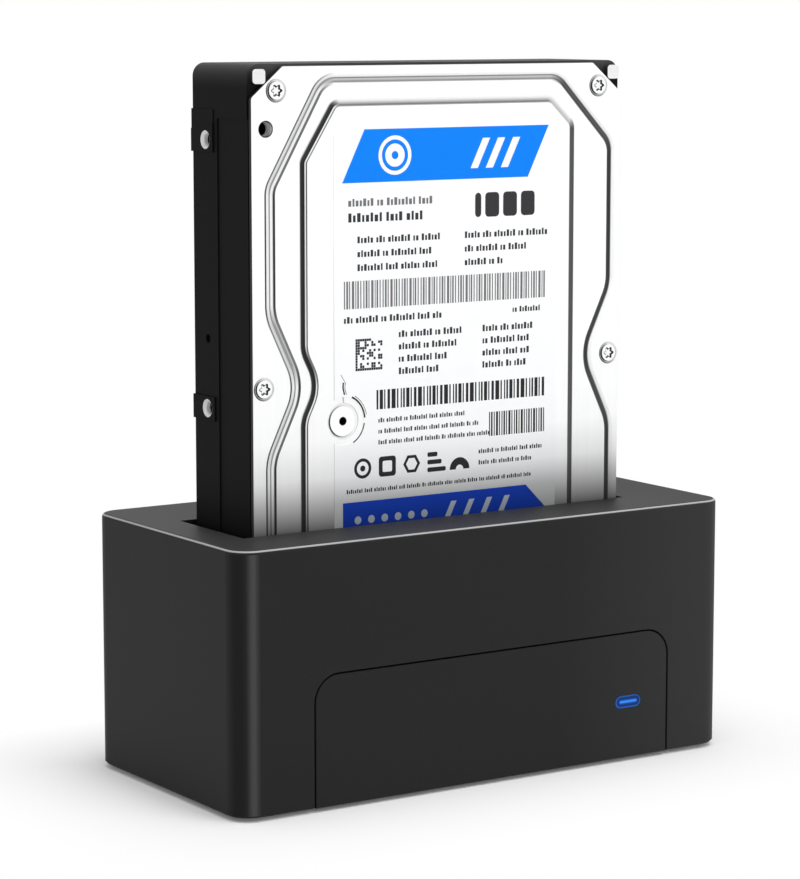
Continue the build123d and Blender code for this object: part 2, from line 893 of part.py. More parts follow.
def dc_jack():
    """Block of the power jack with its round nose and bore."""
    face = rear_y - wall - socket_gap
    body = block((jack_x - jack_width / 2, jack_x + jack_width / 2), (face - jack_depth, face),
                 (board_top, board_top + jack_height))
    body = chamfer(body.edges().filter_by(Axis.Y), jack_chamfer)
    body += rod_along_y(jack_x, jack_centre_z(), (face, rear_y - rear_recess), jack_nose_radius)
    bore = (rear_y - rear_recess - jack_bore_depth, rear_y)
    body -= rod_along_y(jack_x, jack_centre_z(), bore, jack_bore_radius)
    return chamfer(body.faces().sort_by(Axis.Y)[-1].inner_wires().edges(), jack_mouth_chamfer)


def dc_jack_pin():
    """Centre pin of the power jack."""
    face = rear_y - rear_recess
    pin_y = (face - jack_bore_depth, face - jack_pin_setback)
    pin = rod_along_y(jack_x, jack_centre_z(), pin_y, jack_pin_radius)
    return fillet(pin.edges().sort_by(Axis.Y)[-1:], jack_pin_radius / 2)


def button_centre_z():
    """Height of the power button's axis."""
    return board_top + button_rise


def switch_front_y():
    """Face of the switch body that the plunger comes out of, facing the rear."""
    lip_front = rear_y - wall - button_lip_gap - button_lip_thickness
    return lip_front - button_travel - plunger_stroke_gap


def power_switch():
    """Body of the push switch on the board, with the plunger's bore."""
    face = switch_front_y()
    body = block((button_x - switch_width / 2, button_x + switch_width / 2), (face - switch_depth, face),
                 (board_top, board_top + switch_height))
    body = chamfer(body.edges().filter_by(Axis.Y), switch_chamfer)
    stroke = button_travel + plunger_stroke_gap
    bore_y = (face - 2 * stroke, face + overrun)
    return body - rod_along_y(button_x, button_centre_z(), bore_y, plunger_radius + plunger_gap)


def switch_plunger():
    """Pin of the switch that the button pushes."""
    face = switch_front_y()
    lip_front = rear_y - wall - button_lip_gap - button_lip_thickness
    tail = face - plunger_stroke_gap - button_travel / 2
    return rod_along_y(button_x, button_centre_z(), (tail, lip_front), plunger_radius)


def power_button():
    """Round cap with a dished face and a lip that keeps it behind the wall."""
    lip_end = rear_y - wall - button_lip_gap
    lip_start = lip_end - button_lip_thickness
    cap = rod_along_y(button_x, button_centre_z(), (lip_start, rear_y - button_recess), button_radius)
    cap = fillet(cap.edges().sort_by(Axis.Y)[-1:], button_dish)
    cap += rod_along_y(button_x, button_centre_z(), (lip_start, lip_end), button_radius + button_lip)
    dish_radius = button_radius * button_radius / (2 * button_dish)
    dish = Pos(button_x, rear_y - button_recess + dish_radius - button_dish / 2, button_centre_z())
    return cap - dish * Sphere(dish_radius)


def side_pad(x, outline):
    """Pad on a side wall between two values of x, with its outline drawn in Y and Z."""
    pad = extrude(make_face(Polyline(*outline, close=True)), x[1] - x[0])
    return Pos(x[0], 0, 0) * Rot(0, 0, 90) * Rot(90, 0, 0) * pad


def side_bosses():
    """Raised pads round the side mounting holes; the top one steps down along a slanted line."""
    pads = []
    for end in side_hole_ends:
        low = end - boss_low
        back = end + boss_high
        front = back
        if end == side_hole_ends[-1]:
            back = end + top_boss_step_back
            front = end + top_boss_step_front
            top = end + top_boss_high
            cast = [(low, 0), (low, boss_height), (top, boss_height), (top, 0)]
            cast_face = boss_proud - cast_boss_proud
            pads.append(side_pad((cast_face, 2 * boss_proud), cast))
            pads.append(side_pad((drive_width - 2 * boss_proud, drive_width - cast_face), cast))
        machined = [(low, 0), (low, boss_height), (front, boss_height), (back, 0)]
        pads.append(side_pad((0, 2 * boss_proud), machined))
        pads.append(side_pad((drive_width - 2 * boss_proud, drive_width), machined))
    return pads


def side_hole(end):
    """Cutters of the threaded hole and its countersunk mouth on both sides of the drive."""
    cutters = [rod_along_x(end, side_hole_height, (-overrun, side_hole_depth), side_hole_radius),
               rod_along_x(end, side_hole_height, (drive_width - side_hole_depth, drive_width + overrun),
                           side_hole_radius)]
    mouth = Cone(side_hole_radius, side_hole_radius + side_hole_sink, side_hole_sink)
    for x, turn in ((side_hole_sink / 2, -90), (drive_width - side_hole_sink / 2, 90)):
        cutters.append(Pos(x, end, side_hole_height) * Rot(0, turn, 0) * mouth)
    return cutters


def cavity_outline(grow):
    """Outline of the disk chamber: a circle round the platter joined to the arm's room."""
    disc = Pos(spindle_x, spindle_y) * Circle(platter_radius + platter_edge_gap + grow)
    room_x = (cavity_side - grow, drive_width - cavity_side + grow)
    room_y = (cavity_start - grow, cavity_waist + grow)
    room = RectangleRounded(room_x[1] - room_x[0], room_y[1] - room_y[0], cavity_radius)
    return disc + Pos((room_x[0] + room_x[1]) / 2, (room_y[0] + room_y[1]) / 2) * room


def cover_screw_places():
    """Places of the six cover screws: top corners, waist and bottom corners."""
    places = []
    for side in (0, 1):
        for inset, y in ((cover_screw_inset_x, drive_length - cover_screw_inset_y),
                         (cover_waist_screw_inset, waist_right_y if side else waist_y),
                         (cover_low_screw_inset_x, cover_low_screw_inset_y)):
            x = drive_width - inset if side else inset
            places.append((x, y))
    return places


def drive_board_screw_places():
    """Places of the three screws of the drive's board."""
    inset = 2 * drive_board_boss_radius
    low = drive_board_start + inset
    right = drive_width - pocket_side - inset
    return [(pocket_side + inset, low), (right, low), (right, pocket_end - inset)]


def drive_casting():
    """Cast base of the drive: rails, deck, disk chamber, board pocket and mounting holes."""
    body = rounded_block((boss_proud, drive_width - boss_proud), (0, drive_length), (0, casting_top),
                         drive_corner_radius)
    body = chamfer(body.faces().sort_by(Axis.Z)[0].edges(), boss_proud)
    step_y = (side_step_inset, drive_length - side_step_inset)
    step_z = (side_step_start, casting_top + overrun)
    for x in ((boss_proud - overrun, boss_proud + side_step),
              (drive_width - boss_proud - side_step, drive_width - boss_proud + overrun)):
        body -= block(x, step_y, step_z)
    for pad in side_bosses():
        body += pad
    body -= Pos(0, 0, deck_top) * extrude(cavity_outline(0), casting_top)
    body -= rounded_block((pocket_side, drive_width - pocket_side), (-overrun - pocket_radius, pocket_end),
                          (-overrun, pocket_depth), pocket_radius)
    for x, y in drive_board_screw_places():
        body += rod(x, y, (drive_board_lift + drive_board_thickness, pocket_depth + overrun),
                    drive_board_boss_radius)
        body -= rod(x, y, (0, drive_board_lift + drive_board_thickness + drive_board_screw_length),
                    drive_board_screw_radius + screw_gap)
    plug_x = (plug_centre - plug_half_length - notch_gap, plug_centre + plug_half_length + notch_gap)
    body -= block(plug_x, (-overrun, plug_plate_end + notch_gap), (-overrun, plug_top + notch_gap))
    for end in side_hole_ends:
        body -= side_hole(end)
    dimple = boss_proud + side_step + side_dimple_depth
    for x in ((-overrun, dimple), (drive_width - dimple, drive_width + overrun)):
        body -= rod_along_x(side_dimple_end, side_hole_height, x, side_dimple_radius)
    for end in base_hole_ends:
        for side in (-1, 1):
            body -= rod(spindle_x + side * base_hole_spacing / 2, end, (-overrun, base_hole_depth),
                        side_hole_radius)
    for x, y in cover_screw_places():
        body -= rod(x, y, (casting_top - cover_screw_length, casting_top + overrun),
                    cover_screw_radius + screw_gap)
    body -= rod(tool_hole_x, tool_hole_y, (casting_top - cover_screw_length, casting_top + overrun),
                tool_hole_radius - cover_hole_gap)
    for x in (pad_inset, drive_width - pad_inset - pad_side):
        pad_y = (drive_length - pad_inset - pad_side, drive_length - pad_inset)
        body += rounded_block((x, x + pad_side), pad_y, (casting_top, flange_top), pad_radius)
    return body


def cover_outline():
    """Flat outline of the cover: full width, with the far corners cut off."""
    left = boss_proud + cover_side_gap
    right = drive_width - left
    low = cover_end_gap
    high = drive_length - low
    points = [(left, low), (right, low), (right, high - cover_cut_y), (right - cover_cut_x, high),
              (left + cover_cut_x, high), (left, high - cover_cut_y)]
    return make_face(FilletPolyline(*points, radius=cover_corner_radius, close=True))


def cover_gasket():
    """Thin seal between the casting's rim and the cover."""
    ring = cavity_outline(gasket_inset + gasket_width) - cavity_outline(gasket_inset)
    return Pos(0, 0, casting_top) * extrude(ring, gasket_thickness)


def plateau_outline():
    """Outline of the raised middle of the cover, with a bulge at the left of its waist."""
    left = plateau_side
    right = drive_width - plateau_right_side
    high = drive_length - plateau_end
    low = plateau_start
    bulge = left + plateau_bulge
    half = plateau_bulge_half
    points = [(left, low), (right, low), (right, high - plateau_right_drop),
              (right - plateau_right_run, high), (left + plateau_left_run, high),
              (left, high - plateau_left_drop), (left, waist_y + half), (bulge, waist_y),
              (left, waist_y - half)]
    radii = 6 * [plateau_corner_radius] + 3 * [plateau_bulge_radius]
    return make_face(FilletPolyline(*points, radius=radii, close=True))


def channel_outline():
    """Centre line of the pressed channel round the plateau."""
    left = channel_side
    right = drive_width - channel_right_side
    high = drive_length - channel_end
    low = channel_start
    run = channel_bottom_run
    half = channel_bulge_half
    points = [(left + run, low), (right - run, low), (right, low + run),
              (right, waist_right_y - half), (right - channel_bulge, waist_right_y),
              (right, waist_right_y + half),
              (right, high - channel_right_drop), (right - channel_right_run, high),
              (left + channel_left_run, high), (left, high - channel_left_drop),
              (left, waist_y + half), (left + channel_bulge, waist_y), (left, waist_y - half),
              (left, low + run)]
    bulge = 3 * [channel_bulge_radius]
    radii = 3 * [channel_radius] + bulge + 4 * [channel_radius] + bulge + [channel_radius]
    return make_face(FilletPolyline(*points, radius=radii, close=True))


def pressed_channel():
    """Groove of the pressed channel, narrower at its bottom."""
    half = channel_width / 2
    narrow = half - channel_draft
    centre = channel_outline()
    top = offset(centre, half) - offset(centre, -half)
    bottom = offset(centre, narrow) - offset(centre, -narrow)
    low = flange_top - channel_depth
    upper = Pos(0, 0, flange_top - channel_depth / 2) * extrude(top, channel_depth)
    return upper + Pos(0, 0, low) * extrude(bottom, channel_depth)


def drive_cover():
    """Stamped cover: flange, raised plateau, pressed channel, screw dimples and breather."""
    cover = Pos(0, 0, flange_bottom) * extrude(cover_outline(), sheet)
    slope = plateau_step * math.tan(math.radians(plateau_taper))
    foot = Pos(0, 0, flange_top) * plateau_outline()
    crown = Pos(0, 0, plateau_step) * offset(foot, -slope)
    cover += loft([foot.faces()[0], crown.faces()[0]], ruled=True)
    cover -= Pos(0, 0, flange_bottom) * extrude(offset(plateau_outline(), -sheet - slope), plateau_step)
    cover -= pressed_channel()
    for x, y in cover_screw_places():
        cover -= rod(x, y, (flange_top - cover_dimple_depth, flange_top + overrun), cover_dimple_radius)
        cover -= rod(x, y, (flange_bottom - overrun, flange_top), cover_screw_radius + cover_hole_gap)
    through = (flange_bottom - overrun, plateau_top + overrun)
    cover -= rod(tool_hole_x, tool_hole_y, through, tool_hole_radius)
    cover -= rod(vent_hole_x, vent_hole_y, through, vent_hole_radius)
    ring_z = (plateau_top - vent_ring_depth, plateau_top + overrun)
    ring = rod(vent_hole_x, vent_hole_y, ring_z, vent_ring_radius)
    ring -= rod(vent_hole_x, vent_hole_y, ring_z, vent_ring_radius - vent_ring_width)
    half = vent_ring_width / 2
    rim_y = vent_hole_y + vent_ring_radius
    tail_y = (rim_y - half, rim_y + vent_tail_length)
    return cover - ring - block((vent_hole_x - half, vent_hole_x + half), tail_y, ring_z)


def cover_screws():
    """Six cover screws in their dimples."""
    seat = flange_top - cover_dimple_depth
    one = screw(cover_screw_radius, cover_screw_length - cover_dimple_depth, cover_screw_head_radius,
                cover_screw_head_height)
    return group([Pos(x, y, seat) * one for x, y in cover_screw_places()])


def drive_label():
    """Thin printed label on the plateau, with a round bite for the breather."""
    label = rounded_block((label_left, label_right), (label_low, label_high),
                          (plateau_top, plateau_top + label_thickness), label_radius)
    return label - rod(vent_hole_x, vent_hole_y, (plateau_top - overrun, plateau_top + overrun),
                       label_notch_radius)


def drive_board():
    """Board on the underside of the drive, stepped round the motor."""
    left = pocket_side + drive_board_gap
    right = drive_width - pocket_side - drive_board_gap
    high = pocket_end - drive_board_gap
    points = [(left, drive_board_start), (right, drive_board_start), (right, high),
              (right - drive_board_step, high), (right - drive_board_step, drive_board_step_y),
              (left, drive_board_step_y)]
    outline = make_face(FilletPolyline(*points, radius=drive_board_radius, close=True))
    board = Pos(0, 0, drive_board_lift) * extrude(outline, drive_board_thickness)
    for x, y in drive_board_screw_places():
        board -= rod(x, y, (0, pocket_depth), drive_board_screw_radius + screw_gap)
    return board


def drive_chips():
    """Controller, memory and motor driver on the inner face of the drive's board."""
    low = drive_board_lift + drive_board_thickness
    right = drive_width - pocket_side - drive_board_gap
    middle_y = drive_board_step_y - drive_board_step / 2
    column_x = right - drive_board_step / 2
    spots = ((right - drive_board_step, middle_y, controller_side), (column_x, middle_y, memory_side),
             (column_x, pocket_end - drive_board_step / 2, motor_driver_side))
    chips = []
    for x, y, size in spots:
        half = size / 2
        chips.append(block((x - half, x + half), (y - half, y + half), (low, low + chip_height)))
    return group(chips)


def drive_board_screws():
    """Three screws through the drive's board into the casting."""
    one = screw(drive_board_screw_radius, drive_board_screw_length, drive_board_screw_head_radius,
                drive_board_screw_head_height)
    upside_down = Pos(0, 0, drive_board_lift) * Rot(180, 0, 0) * one
    return group([Pos(x, y, 0) * upside_down for x, y in drive_board_screw_places()])


def drive_plug():
    """Connector of the drive: back plate, end posts and two keyed blades."""
    low = drive_board_lift + drive_board_thickness
    left = plug_centre - plug_half_length
    right = plug_centre + plug_half_length
    plug = block((left, right), (blade_root, plug_plate_end), (low, plug_top))
    for x in ((left, left + plug_post), (right - plug_post, right)):
        plug += block(x, (blade_tip, blade_root), (low, plug_top))
    for span in blade_spans():
        plug += blade(span, (blade_tip, blade_root), 0)
    for pin_x in pin_places():
        plug -= pad_strip(pin_x)
    return plug


def pad_strip(x):
    """Shallow strip of one contact pad on the blade's lower face."""
    low = plug_height - blade_thickness / 2
    half = contact_width / 2
    return block((x - half, x + half), (blade_tip + slot_bottom_gap, blade_root + overrun),
                 (low, low + contact_pad_thickness))


def plug_contacts():
    """Contact pads of the drive's connector, let into the blades."""
    return group([pad_strip(x) for x in pin_places()])


def motor_base():
    """Fixed ring of the spindle motor on the deck."""
    ring = rod(spindle_x, spindle_y, (deck_top, deck_top + motor_base_height), motor_base_radius)
    ring = chamfer(ring.edges().sort_by(Axis.Z)[-1:], motor_base_height / 3)
    bore_z = (deck_top - overrun, deck_top + motor_base_height + overrun)
    return ring - rod(spindle_x, spindle_y, bore_z, shaft_radius)


def spindle_shaft():
    """Fixed shaft that the hub turns on."""
    shaft = rod(spindle_x, spindle_y, (deck_top, deck_top + shaft_height), shaft_radius)
    return chamfer(shaft.edges().sort_by(Axis.Z)[-1:], shaft_radius / 5)


def clamp_screw_spots():
    """Places of the clamp screws round the spindle."""
    spots = []
    for i in range(clamp_screw_count):
        turn = 2 * math.pi * i / clamp_screw_count
        x = spindle_x + clamp_screw_ring * math.cos(turn)
        y = spindle_y + clamp_screw_ring * math.sin(turn)
        spots.append((x, y))
    return spots


def spindle_hub():
    """Turning hub with the flange that carries the platter."""
    low = deck_top + motor_base_height + rotor_lift
    hub = rod(spindle_x, spindle_y, (low, platter_low), hub_flange_radius)
    hub += rod(spindle_x, spindle_y, (low, platter_high), hub_radius)
    hub -= rod(spindle_x, spindle_y, (low - overrun, platter_high + overrun), shaft_radius + running_gap)
    for x, y in clamp_screw_spots():
        hub -= rod(x, y, (platter_high - clamp_screw_length, platter_high + overrun),
                   clamp_screw_radius + running_gap)
    return hub


def platter():
    """Polished disk on the hub."""
    disc = rod(spindle_x, spindle_y, (platter_low, platter_high), platter_radius)
    bore_z = (platter_low - overrun, platter_high + overrun)
    return disc - rod(spindle_x, spindle_y, bore_z, hub_radius + platter_fit)


def platter_clamp():
    """Ring that holds the platter down on the hub."""
    z = (platter_high, platter_high + clamp_thickness)
    ring = rod(spindle_x, spindle_y, z, hub_flange_radius)
    ring = chamfer(ring.edges().sort_by(Axis.Z)[-1:], clamp_thickness / 3)
    ring -= rod(spindle_x, spindle_y, (z[0] - overrun, z[1] + overrun), clamp_bore_radius)
    for x, y in clamp_screw_spots():
        ring -= rod(x, y, (z[0] - overrun, z[1] + overrun), clamp_screw_radius + running_gap)
    return ring


def clamp_screws():
    """Screws of the platter clamp."""
    one = screw(clamp_screw_radius, clamp_screw_length, clamp_screw_head_radius, clamp_screw_head_height)
    up = platter_high + clamp_thickness
    return group([Pos(x, y, up) * one for x, y in clamp_screw_spots()])


def pivot_post():
    """Fixed post that the head arm swings on."""
    post = rod(pivot_x, pivot_y, (deck_top, deck_top + pivot_height), pivot_radius)
    return chamfer(post.edges().sort_by(Axis.Z)[-1:], pivot_radius / 5)


def sector(inner, outer, first_angle, last_angle, z):
    """Flat ring sector about the pivot, between two angles in degrees."""
    middle_angle = (first_angle + last_angle) / 2

    def point(radius, angle):
        """Point at a radius and an angle from the pivot."""
        turn = math.radians(angle)
        return (pivot_x + radius * math.cos(turn), pivot_y + radius * math.sin(turn))

    outline = ThreePointArc(point(outer, first_angle), point(outer, middle_angle), point(outer, last_angle))
    outline += Line(point(outer, last_angle), point(inner, last_angle))
    outline += ThreePointArc(point(inner, last_angle), point(inner, middle_angle), point(inner, first_angle))
    outline += Line(point(inner, first_angle), point(outer, first_angle))
    return Pos(0, 0, z[0]) * extrude(make_face(outline), z[1] - z[0])


def arm_blade(z):
    """One tapering arm from the pivot to the head, with a lightening hole and a slider."""
    points = [(0, -arm_root_width / 2), (arm_length, -arm_tip_width / 2), (arm_length, arm_tip_width / 2),
              (0, arm_root_width / 2)]
    plate = extrude(make_face(Polyline(*points, close=True)), z[1] - z[0])
    hole = Pos(arm_length / 2, 0) * SlotOverall(arm_length / 3, arm_tip_width)
    plate -= Pos(0, 0, -overrun) * extrude(hole, z[1] - z[0] + 2 * overrun)
    return Pos(pivot_x, pivot_y, z[0]) * Rot(0, 0, arm_park_angle) * plate


def coil_z():
    """Low and high face of the voice coil, level with the platter."""
    middle = (platter_low + platter_high) / 2
    return (middle - coil_thickness / 2, middle + coil_thickness / 2)


def actuator_arm():
    """Arm block on its pivot bore, one arm each side of the platter, and the coil's fork."""
    low_arm = (platter_low - arm_platter_gap - arm_plate, platter_low - arm_platter_gap)
    high_arm = (platter_high + arm_platter_gap, platter_high + arm_platter_gap + arm_plate)
    z = (low_arm[0] - arm_hub_margin, high_arm[1] + arm_hub_margin)
    arm = rod(pivot_x, pivot_y, z, arm_hub_radius)
    arm += arm_blade(low_arm)
    arm += arm_blade(high_arm)
    coil_low, coil_high = coil_z()
    for side in (-1, 1):
        angle = arm_park_angle - 180 + side * (coil_half_angle - fork_width)
        fork = block((0, fork_reach), (-fork_width / 2, fork_width / 2), (coil_low, coil_high))
        arm += Pos(pivot_x, pivot_y, 0) * Rot(0, 0, angle) * fork
    return arm - rod(pivot_x, pivot_y, (0, drive_thickness), pivot_radius + running_gap)


def voice_coil():
    """Flat wound coil on the tail of the arm."""
    middle = arm_park_angle - 180
    outer = sector(coil_inner_radius - coil_winding / 2, coil_outer_radius, middle - coil_half_angle,
                   middle + coil_half_angle, coil_z())
    trim = math.degrees(coil_winding / coil_outer_radius)
    inner = sector(coil_inner_radius + coil_winding / 2, coil_outer_radius - coil_winding,
                   middle - coil_half_angle + 2 * trim, middle + coil_half_angle - 2 * trim,
                   (0, drive_thickness))
    return outer - inner


def yoke_posts(z):
    """Two posts that hold the upper yoke above the lower one, clear of the coil's swing."""
    posts = []
    for angle in (yoke_first_angle - yoke_post_margin, yoke_last_angle + yoke_post_margin):
        turn = math.radians(angle)
        x = pivot_x + yoke_post_reach * math.cos(turn)
        y = pivot_y + yoke_post_reach * math.sin(turn)
        posts.append(rod(x, y, z, yoke_post_radius))
    return posts


def lower_yoke():
    """Magnet plate on the deck under the coil."""
    top = coil_z()[0] - yoke_gap
    return sector(yoke_inner_radius, yoke_outer_radius, yoke_first_angle, yoke_last_angle, (deck_top, top))


def upper_yoke():
    """Magnet plate above the coil, standing on its two posts."""
    low = coil_z()[0] - yoke_gap
    high = coil_z()[1] + yoke_gap
    plate = sector(yoke_inner_radius, yoke_outer_radius, yoke_first_angle, yoke_last_angle,
                   (high, high + yoke_thickness))
    for post in yoke_posts((low, high)):
        plate += post
    return plate


def head_ramp():
    """Parking ramp beside the platter, under the tips of the parked arm."""
    turn = math.radians(arm_park_angle)
    tip_x = pivot_x + arm_length * math.cos(turn)
    tip_y = pivot_y + arm_length * math.sin(turn)
    top = platter_low - arm_platter_gap - arm_plate - ramp_gap
    return block((tip_x - ramp_length, tip_x - ramp_reach), (tip_y - ramp_width, tip_y + ramp_width),
                 (deck_top, top))


dock_pieces = {
    "dock_shell": dock_shell, "base_plate": base_plate, "front_panel": front_panel,
    "light_pipe": light_pipe, "status_led": status_led, "led_holder": led_holder,
    "main_board": main_board, "board_screws": board_screws, "base_screws": base_screws,
    "rubber_feet": rubber_feet, "sata_receptacle": sata_receptacle, "sata_contacts": sata_contacts,
    "bridge_chip": bridge_chip, "chip_leads": chip_leads, "capacitors": capacitors,
    "inductor": inductor, "crystal": crystal, "usb_socket": usb_socket, "usb_insert": usb_insert,
    "dc_jack": dc_jack, "dc_jack_pin": dc_jack_pin, "power_switch": power_switch,
    "switch_plunger": switch_plunger, "power_button": power_button,
}
drive_pieces = {
    "drive_casting": drive_casting, "cover_gasket": cover_gasket, "drive_cover": drive_cover,
    "cover_screws": cover_screws, "drive_label": drive_label, "drive_board": drive_board,
    "drive_chips": drive_chips, "drive_board_screws": drive_board_screws, "drive_plug": drive_plug,
    "plug_contacts": plug_contacts, "motor_base": motor_base, "spindle_shaft": spindle_shaft,
    "spindle_hub": spindle_hub, "platter": platter, "platter_clamp": platter_clamp,
    "clamp_screws": clamp_screws, "pivot_post": pivot_post, "actuator_arm": actuator_arm,
    "voice_coil": voice_coil, "lower_yoke": lower_yoke, "upper_yoke": upper_yoke, "head_ramp": head_ramp,
}

os.makedirs("parts", exist_ok=True)
for name, make in dock_pieces.items():
    export_step(make(), f"parts/{name}.step")
for name, make in drive_pieces.items():
    export_step(in_bay(make()), f"parts/{name}.step")
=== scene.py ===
"""Looks of the hard drive docking station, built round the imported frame."""
import json
from math import acos, atan2, cos, pi, radians, sin, tan

import bpy
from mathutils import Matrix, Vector
from mathutils.geometry import delaunay_2d_cdt


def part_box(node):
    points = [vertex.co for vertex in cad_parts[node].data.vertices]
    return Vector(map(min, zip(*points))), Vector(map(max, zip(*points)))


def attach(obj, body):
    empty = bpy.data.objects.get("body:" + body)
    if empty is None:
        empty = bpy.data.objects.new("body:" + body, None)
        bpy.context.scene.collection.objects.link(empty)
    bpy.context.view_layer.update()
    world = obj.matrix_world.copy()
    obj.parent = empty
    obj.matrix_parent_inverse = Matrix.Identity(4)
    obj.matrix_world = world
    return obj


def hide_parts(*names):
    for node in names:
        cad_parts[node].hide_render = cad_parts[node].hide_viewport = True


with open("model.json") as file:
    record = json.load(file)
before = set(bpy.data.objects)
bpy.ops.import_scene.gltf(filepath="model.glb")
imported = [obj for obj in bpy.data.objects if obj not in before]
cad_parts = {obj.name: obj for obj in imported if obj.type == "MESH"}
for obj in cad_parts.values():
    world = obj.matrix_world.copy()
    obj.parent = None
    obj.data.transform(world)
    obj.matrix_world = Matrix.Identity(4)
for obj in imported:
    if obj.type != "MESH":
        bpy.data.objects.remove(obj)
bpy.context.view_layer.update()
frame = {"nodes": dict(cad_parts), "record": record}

MM = 0.001
FULL_TURN = 2 * pi

# Left face, mounting face and connector end of the docked drive, and its sizes, all as in the part.
DRIVE_LEFT = -54.0
DRIVE_REAR = 8.6
DRIVE_BOTTOM = 16.4
DRIVE_WIDTH = 101.6
DRIVE_LENGTH = 147.0
DRIVE_THICKNESS = 26.1

# Levels of the cover above the drive's mounting face.
LABEL_THICKNESS = 0.1
PLATEAU_TOP = DRIVE_THICKNESS - LABEL_THICKNESS
PLATEAU_STEP = 0.7
FLANGE_TOP = PLATEAU_TOP - PLATEAU_STEP
SHEET = 0.9
FLANGE_BOTTOM = FLANGE_TOP - SHEET

# The cover's outer edge.
COVER_SIDE = 0.6
COVER_END = 0.5
COVER_CORNER = 1.0
COVER_CUT_X = 8.0
COVER_CUT_Y = 6.8
COVER_ROUNDING = 0.15

# The raised middle of the cover.
PLATEAU_SIDE = 12.9
PLATEAU_RIGHT_SIDE = 14.3
PLATEAU_END = 8.0
PLATEAU_START = 12.0
PLATEAU_LEFT_RUN = 8.4
PLATEAU_LEFT_DROP = 13.2
PLATEAU_RIGHT_RUN = 6.6
PLATEAU_RIGHT_DROP = 6.2
PLATEAU_BULGE = 3.7
PLATEAU_BULGE_HALF = 7.5
PLATEAU_CORNER = 3.0
PLATEAU_BULGE_RADIUS = 8.0
PLATEAU_SLOPE = 1.435
STEP_ROUNDING = 0.3
STEP_FOOT = 0.45

# The pressed channel round it.
CHANNEL_SIDE = 5.4
CHANNEL_RIGHT_SIDE = 3.2
CHANNEL_END = 3.6
CHANNEL_START = 5.0
CHANNEL_LEFT_RUN = 13.6
CHANNEL_LEFT_DROP = 23.6
CHANNEL_RIGHT_RUN = 15.0
CHANNEL_RIGHT_DROP = 15.6
CHANNEL_BULGE = 7.6
CHANNEL_BULGE_HALF = 16.0
CHANNEL_CORNER = 5.5
CHANNEL_BULGE_RADIUS = 11.0
CHANNEL_WIDTH = 2.3
CHANNEL_DEPTH = 0.3
CHANNEL_DRAFT = 0.7
CHANNEL_BOTTOM_RUN = 12.0
CHANNEL_BANK = 0.45
CHANNEL_LIP_ROUNDING = 0.18
CHANNEL_BED_ROUNDING = 0.15
WAIST = 76.0
WAIST_RIGHT = 78.4

# Holes, screws and the breather of the cover.
VENT_X = 23.5
VENT_Y = 67.6
VENT_HOLE = 0.9
VENT_RING = 4.1
VENT_GROOVE = 0.5
VENT_DEPTH = 0.25
VENT_TAIL = 4.5
VENT_ROUNDING = 0.08
VENT_HOLE_ROUNDING = 0.1
ISLAND_RIM = 0.3
TOOL_X = 4.3
TOOL_Y = 132.9
TOOL_HOLE = 1.6
TOOL_ROUNDING = 0.3
SCREW_TOP_X = 7.0
SCREW_TOP_Y = 5.8
SCREW_WAIST_X = 3.5
SCREW_LOW_X = 5.6
SCREW_LOW_Y = 6.2
DIMPLE = 2.6
DIMPLE_CUT = 2.55
DIMPLE_DEPTH = 0.22
DIMPLE_SLOPE = 0.45
DIMPLE_ROUNDINGS = (0.12, 0.1)
DIMPLE_SEAT = FLANGE_TOP - DIMPLE_DEPTH
SCREW_HEAD = 2.1
SCREW_HEAD_HEIGHT = 0.5
SCREW_HEAD_ROUNDING = 0.3
STAR_OUTER = 1.45
STAR_INNER = 1.0
STAR_DEPTH = 0.35
STAR_SLOPE = 0.36
STAR_LOBES = 6
STAR_POINTS = 60
STAR_ROUNDING = 0.06
STAR_BED_RIM = 0.1

# The label film.
LABEL_LEFT = 21.2
LABEL_RIGHT = 82.2
LABEL_LOW = 14.0
LABEL_HIGH = 133.0
LABEL_CORNER = 2.0
LABEL_ROUNDING = 0.04
LABEL_NOTCH = 5.4

# The painted shade of cover and label towards the slot, as heights above the floor and its darkest levels.
SLOT_SHADE_LOW = 42.0
SLOT_SHADE_HIGH = 84.0
COVER_SLOT_SHADE = 0.12
FILM_SLOT_SHADE = 0.3

# Bare metal of the casting: pads, tool hole and side holes, with their radii and depths.
PAD_BARE_DEPTH = 0.05
TOOL_BARE = 1.9
TOOL_BARE_DEPTH = 2.7
SIDE_HOLE_HEIGHTS = (70.1, 130.1)
SIDE_HOLE_DEPTH = 6.35
SIDE_HOLE_BARE = 2.05
SIDE_HOLE_WALL = 1.5

# How far a painted sheen reaches down from the casting's top end, and its curve.
TOP_PAINTED_SHEEN = 5.5
TOP_PAINTED_SHEEN_CURVE = 1.6

# Painted light on the dock: where its change to the right starts and ends, and depths of the rim.
RIGHT_FROM = 18.0
RIGHT_AT = 62.0
RIM_DEPTH = 2.2
RIM_FULL_DEPTH = 1.6
# Ranges of a surface's way along X or Z for this painted light: two ends of a slope, or the four
# corners of a band.
UPRIGHT = (0.1, 0.02)
CORNER_SHADE = (0.55, 0.7, 0.9, 0.985)
CORNER_PAINTED_SHEEN = (0.06, 0.24, 0.36, 0.56)
RIM_HIGHLIGHT_SLOPE = (0.46, 0.64, 0.84, 0.93)
PAINTED_TOP_SLOPE = (0.95, 0.99)

# The status light: rise of its core, strength, and colours from the core to the rim.
LIGHT_CORE_RISE = 0.06
LIGHT_STRENGTH = 0.85
LIGHT_STOPS = (
    (0.0, (0.04, 0.36, 1.0)),
    (0.1, (0.01, 0.22, 0.95)),
    (0.22, (0.0, 0.04, 0.36)),
    (0.38, (0.0, 0.004, 0.06)),
    (0.5, (0.0, 0.012, 0.13)),
    (0.66, (0.002, 0.13, 0.6)),
    (0.8, (0.002, 0.06, 0.26)),
    (1.0, (0.002, 0.015, 0.045)))

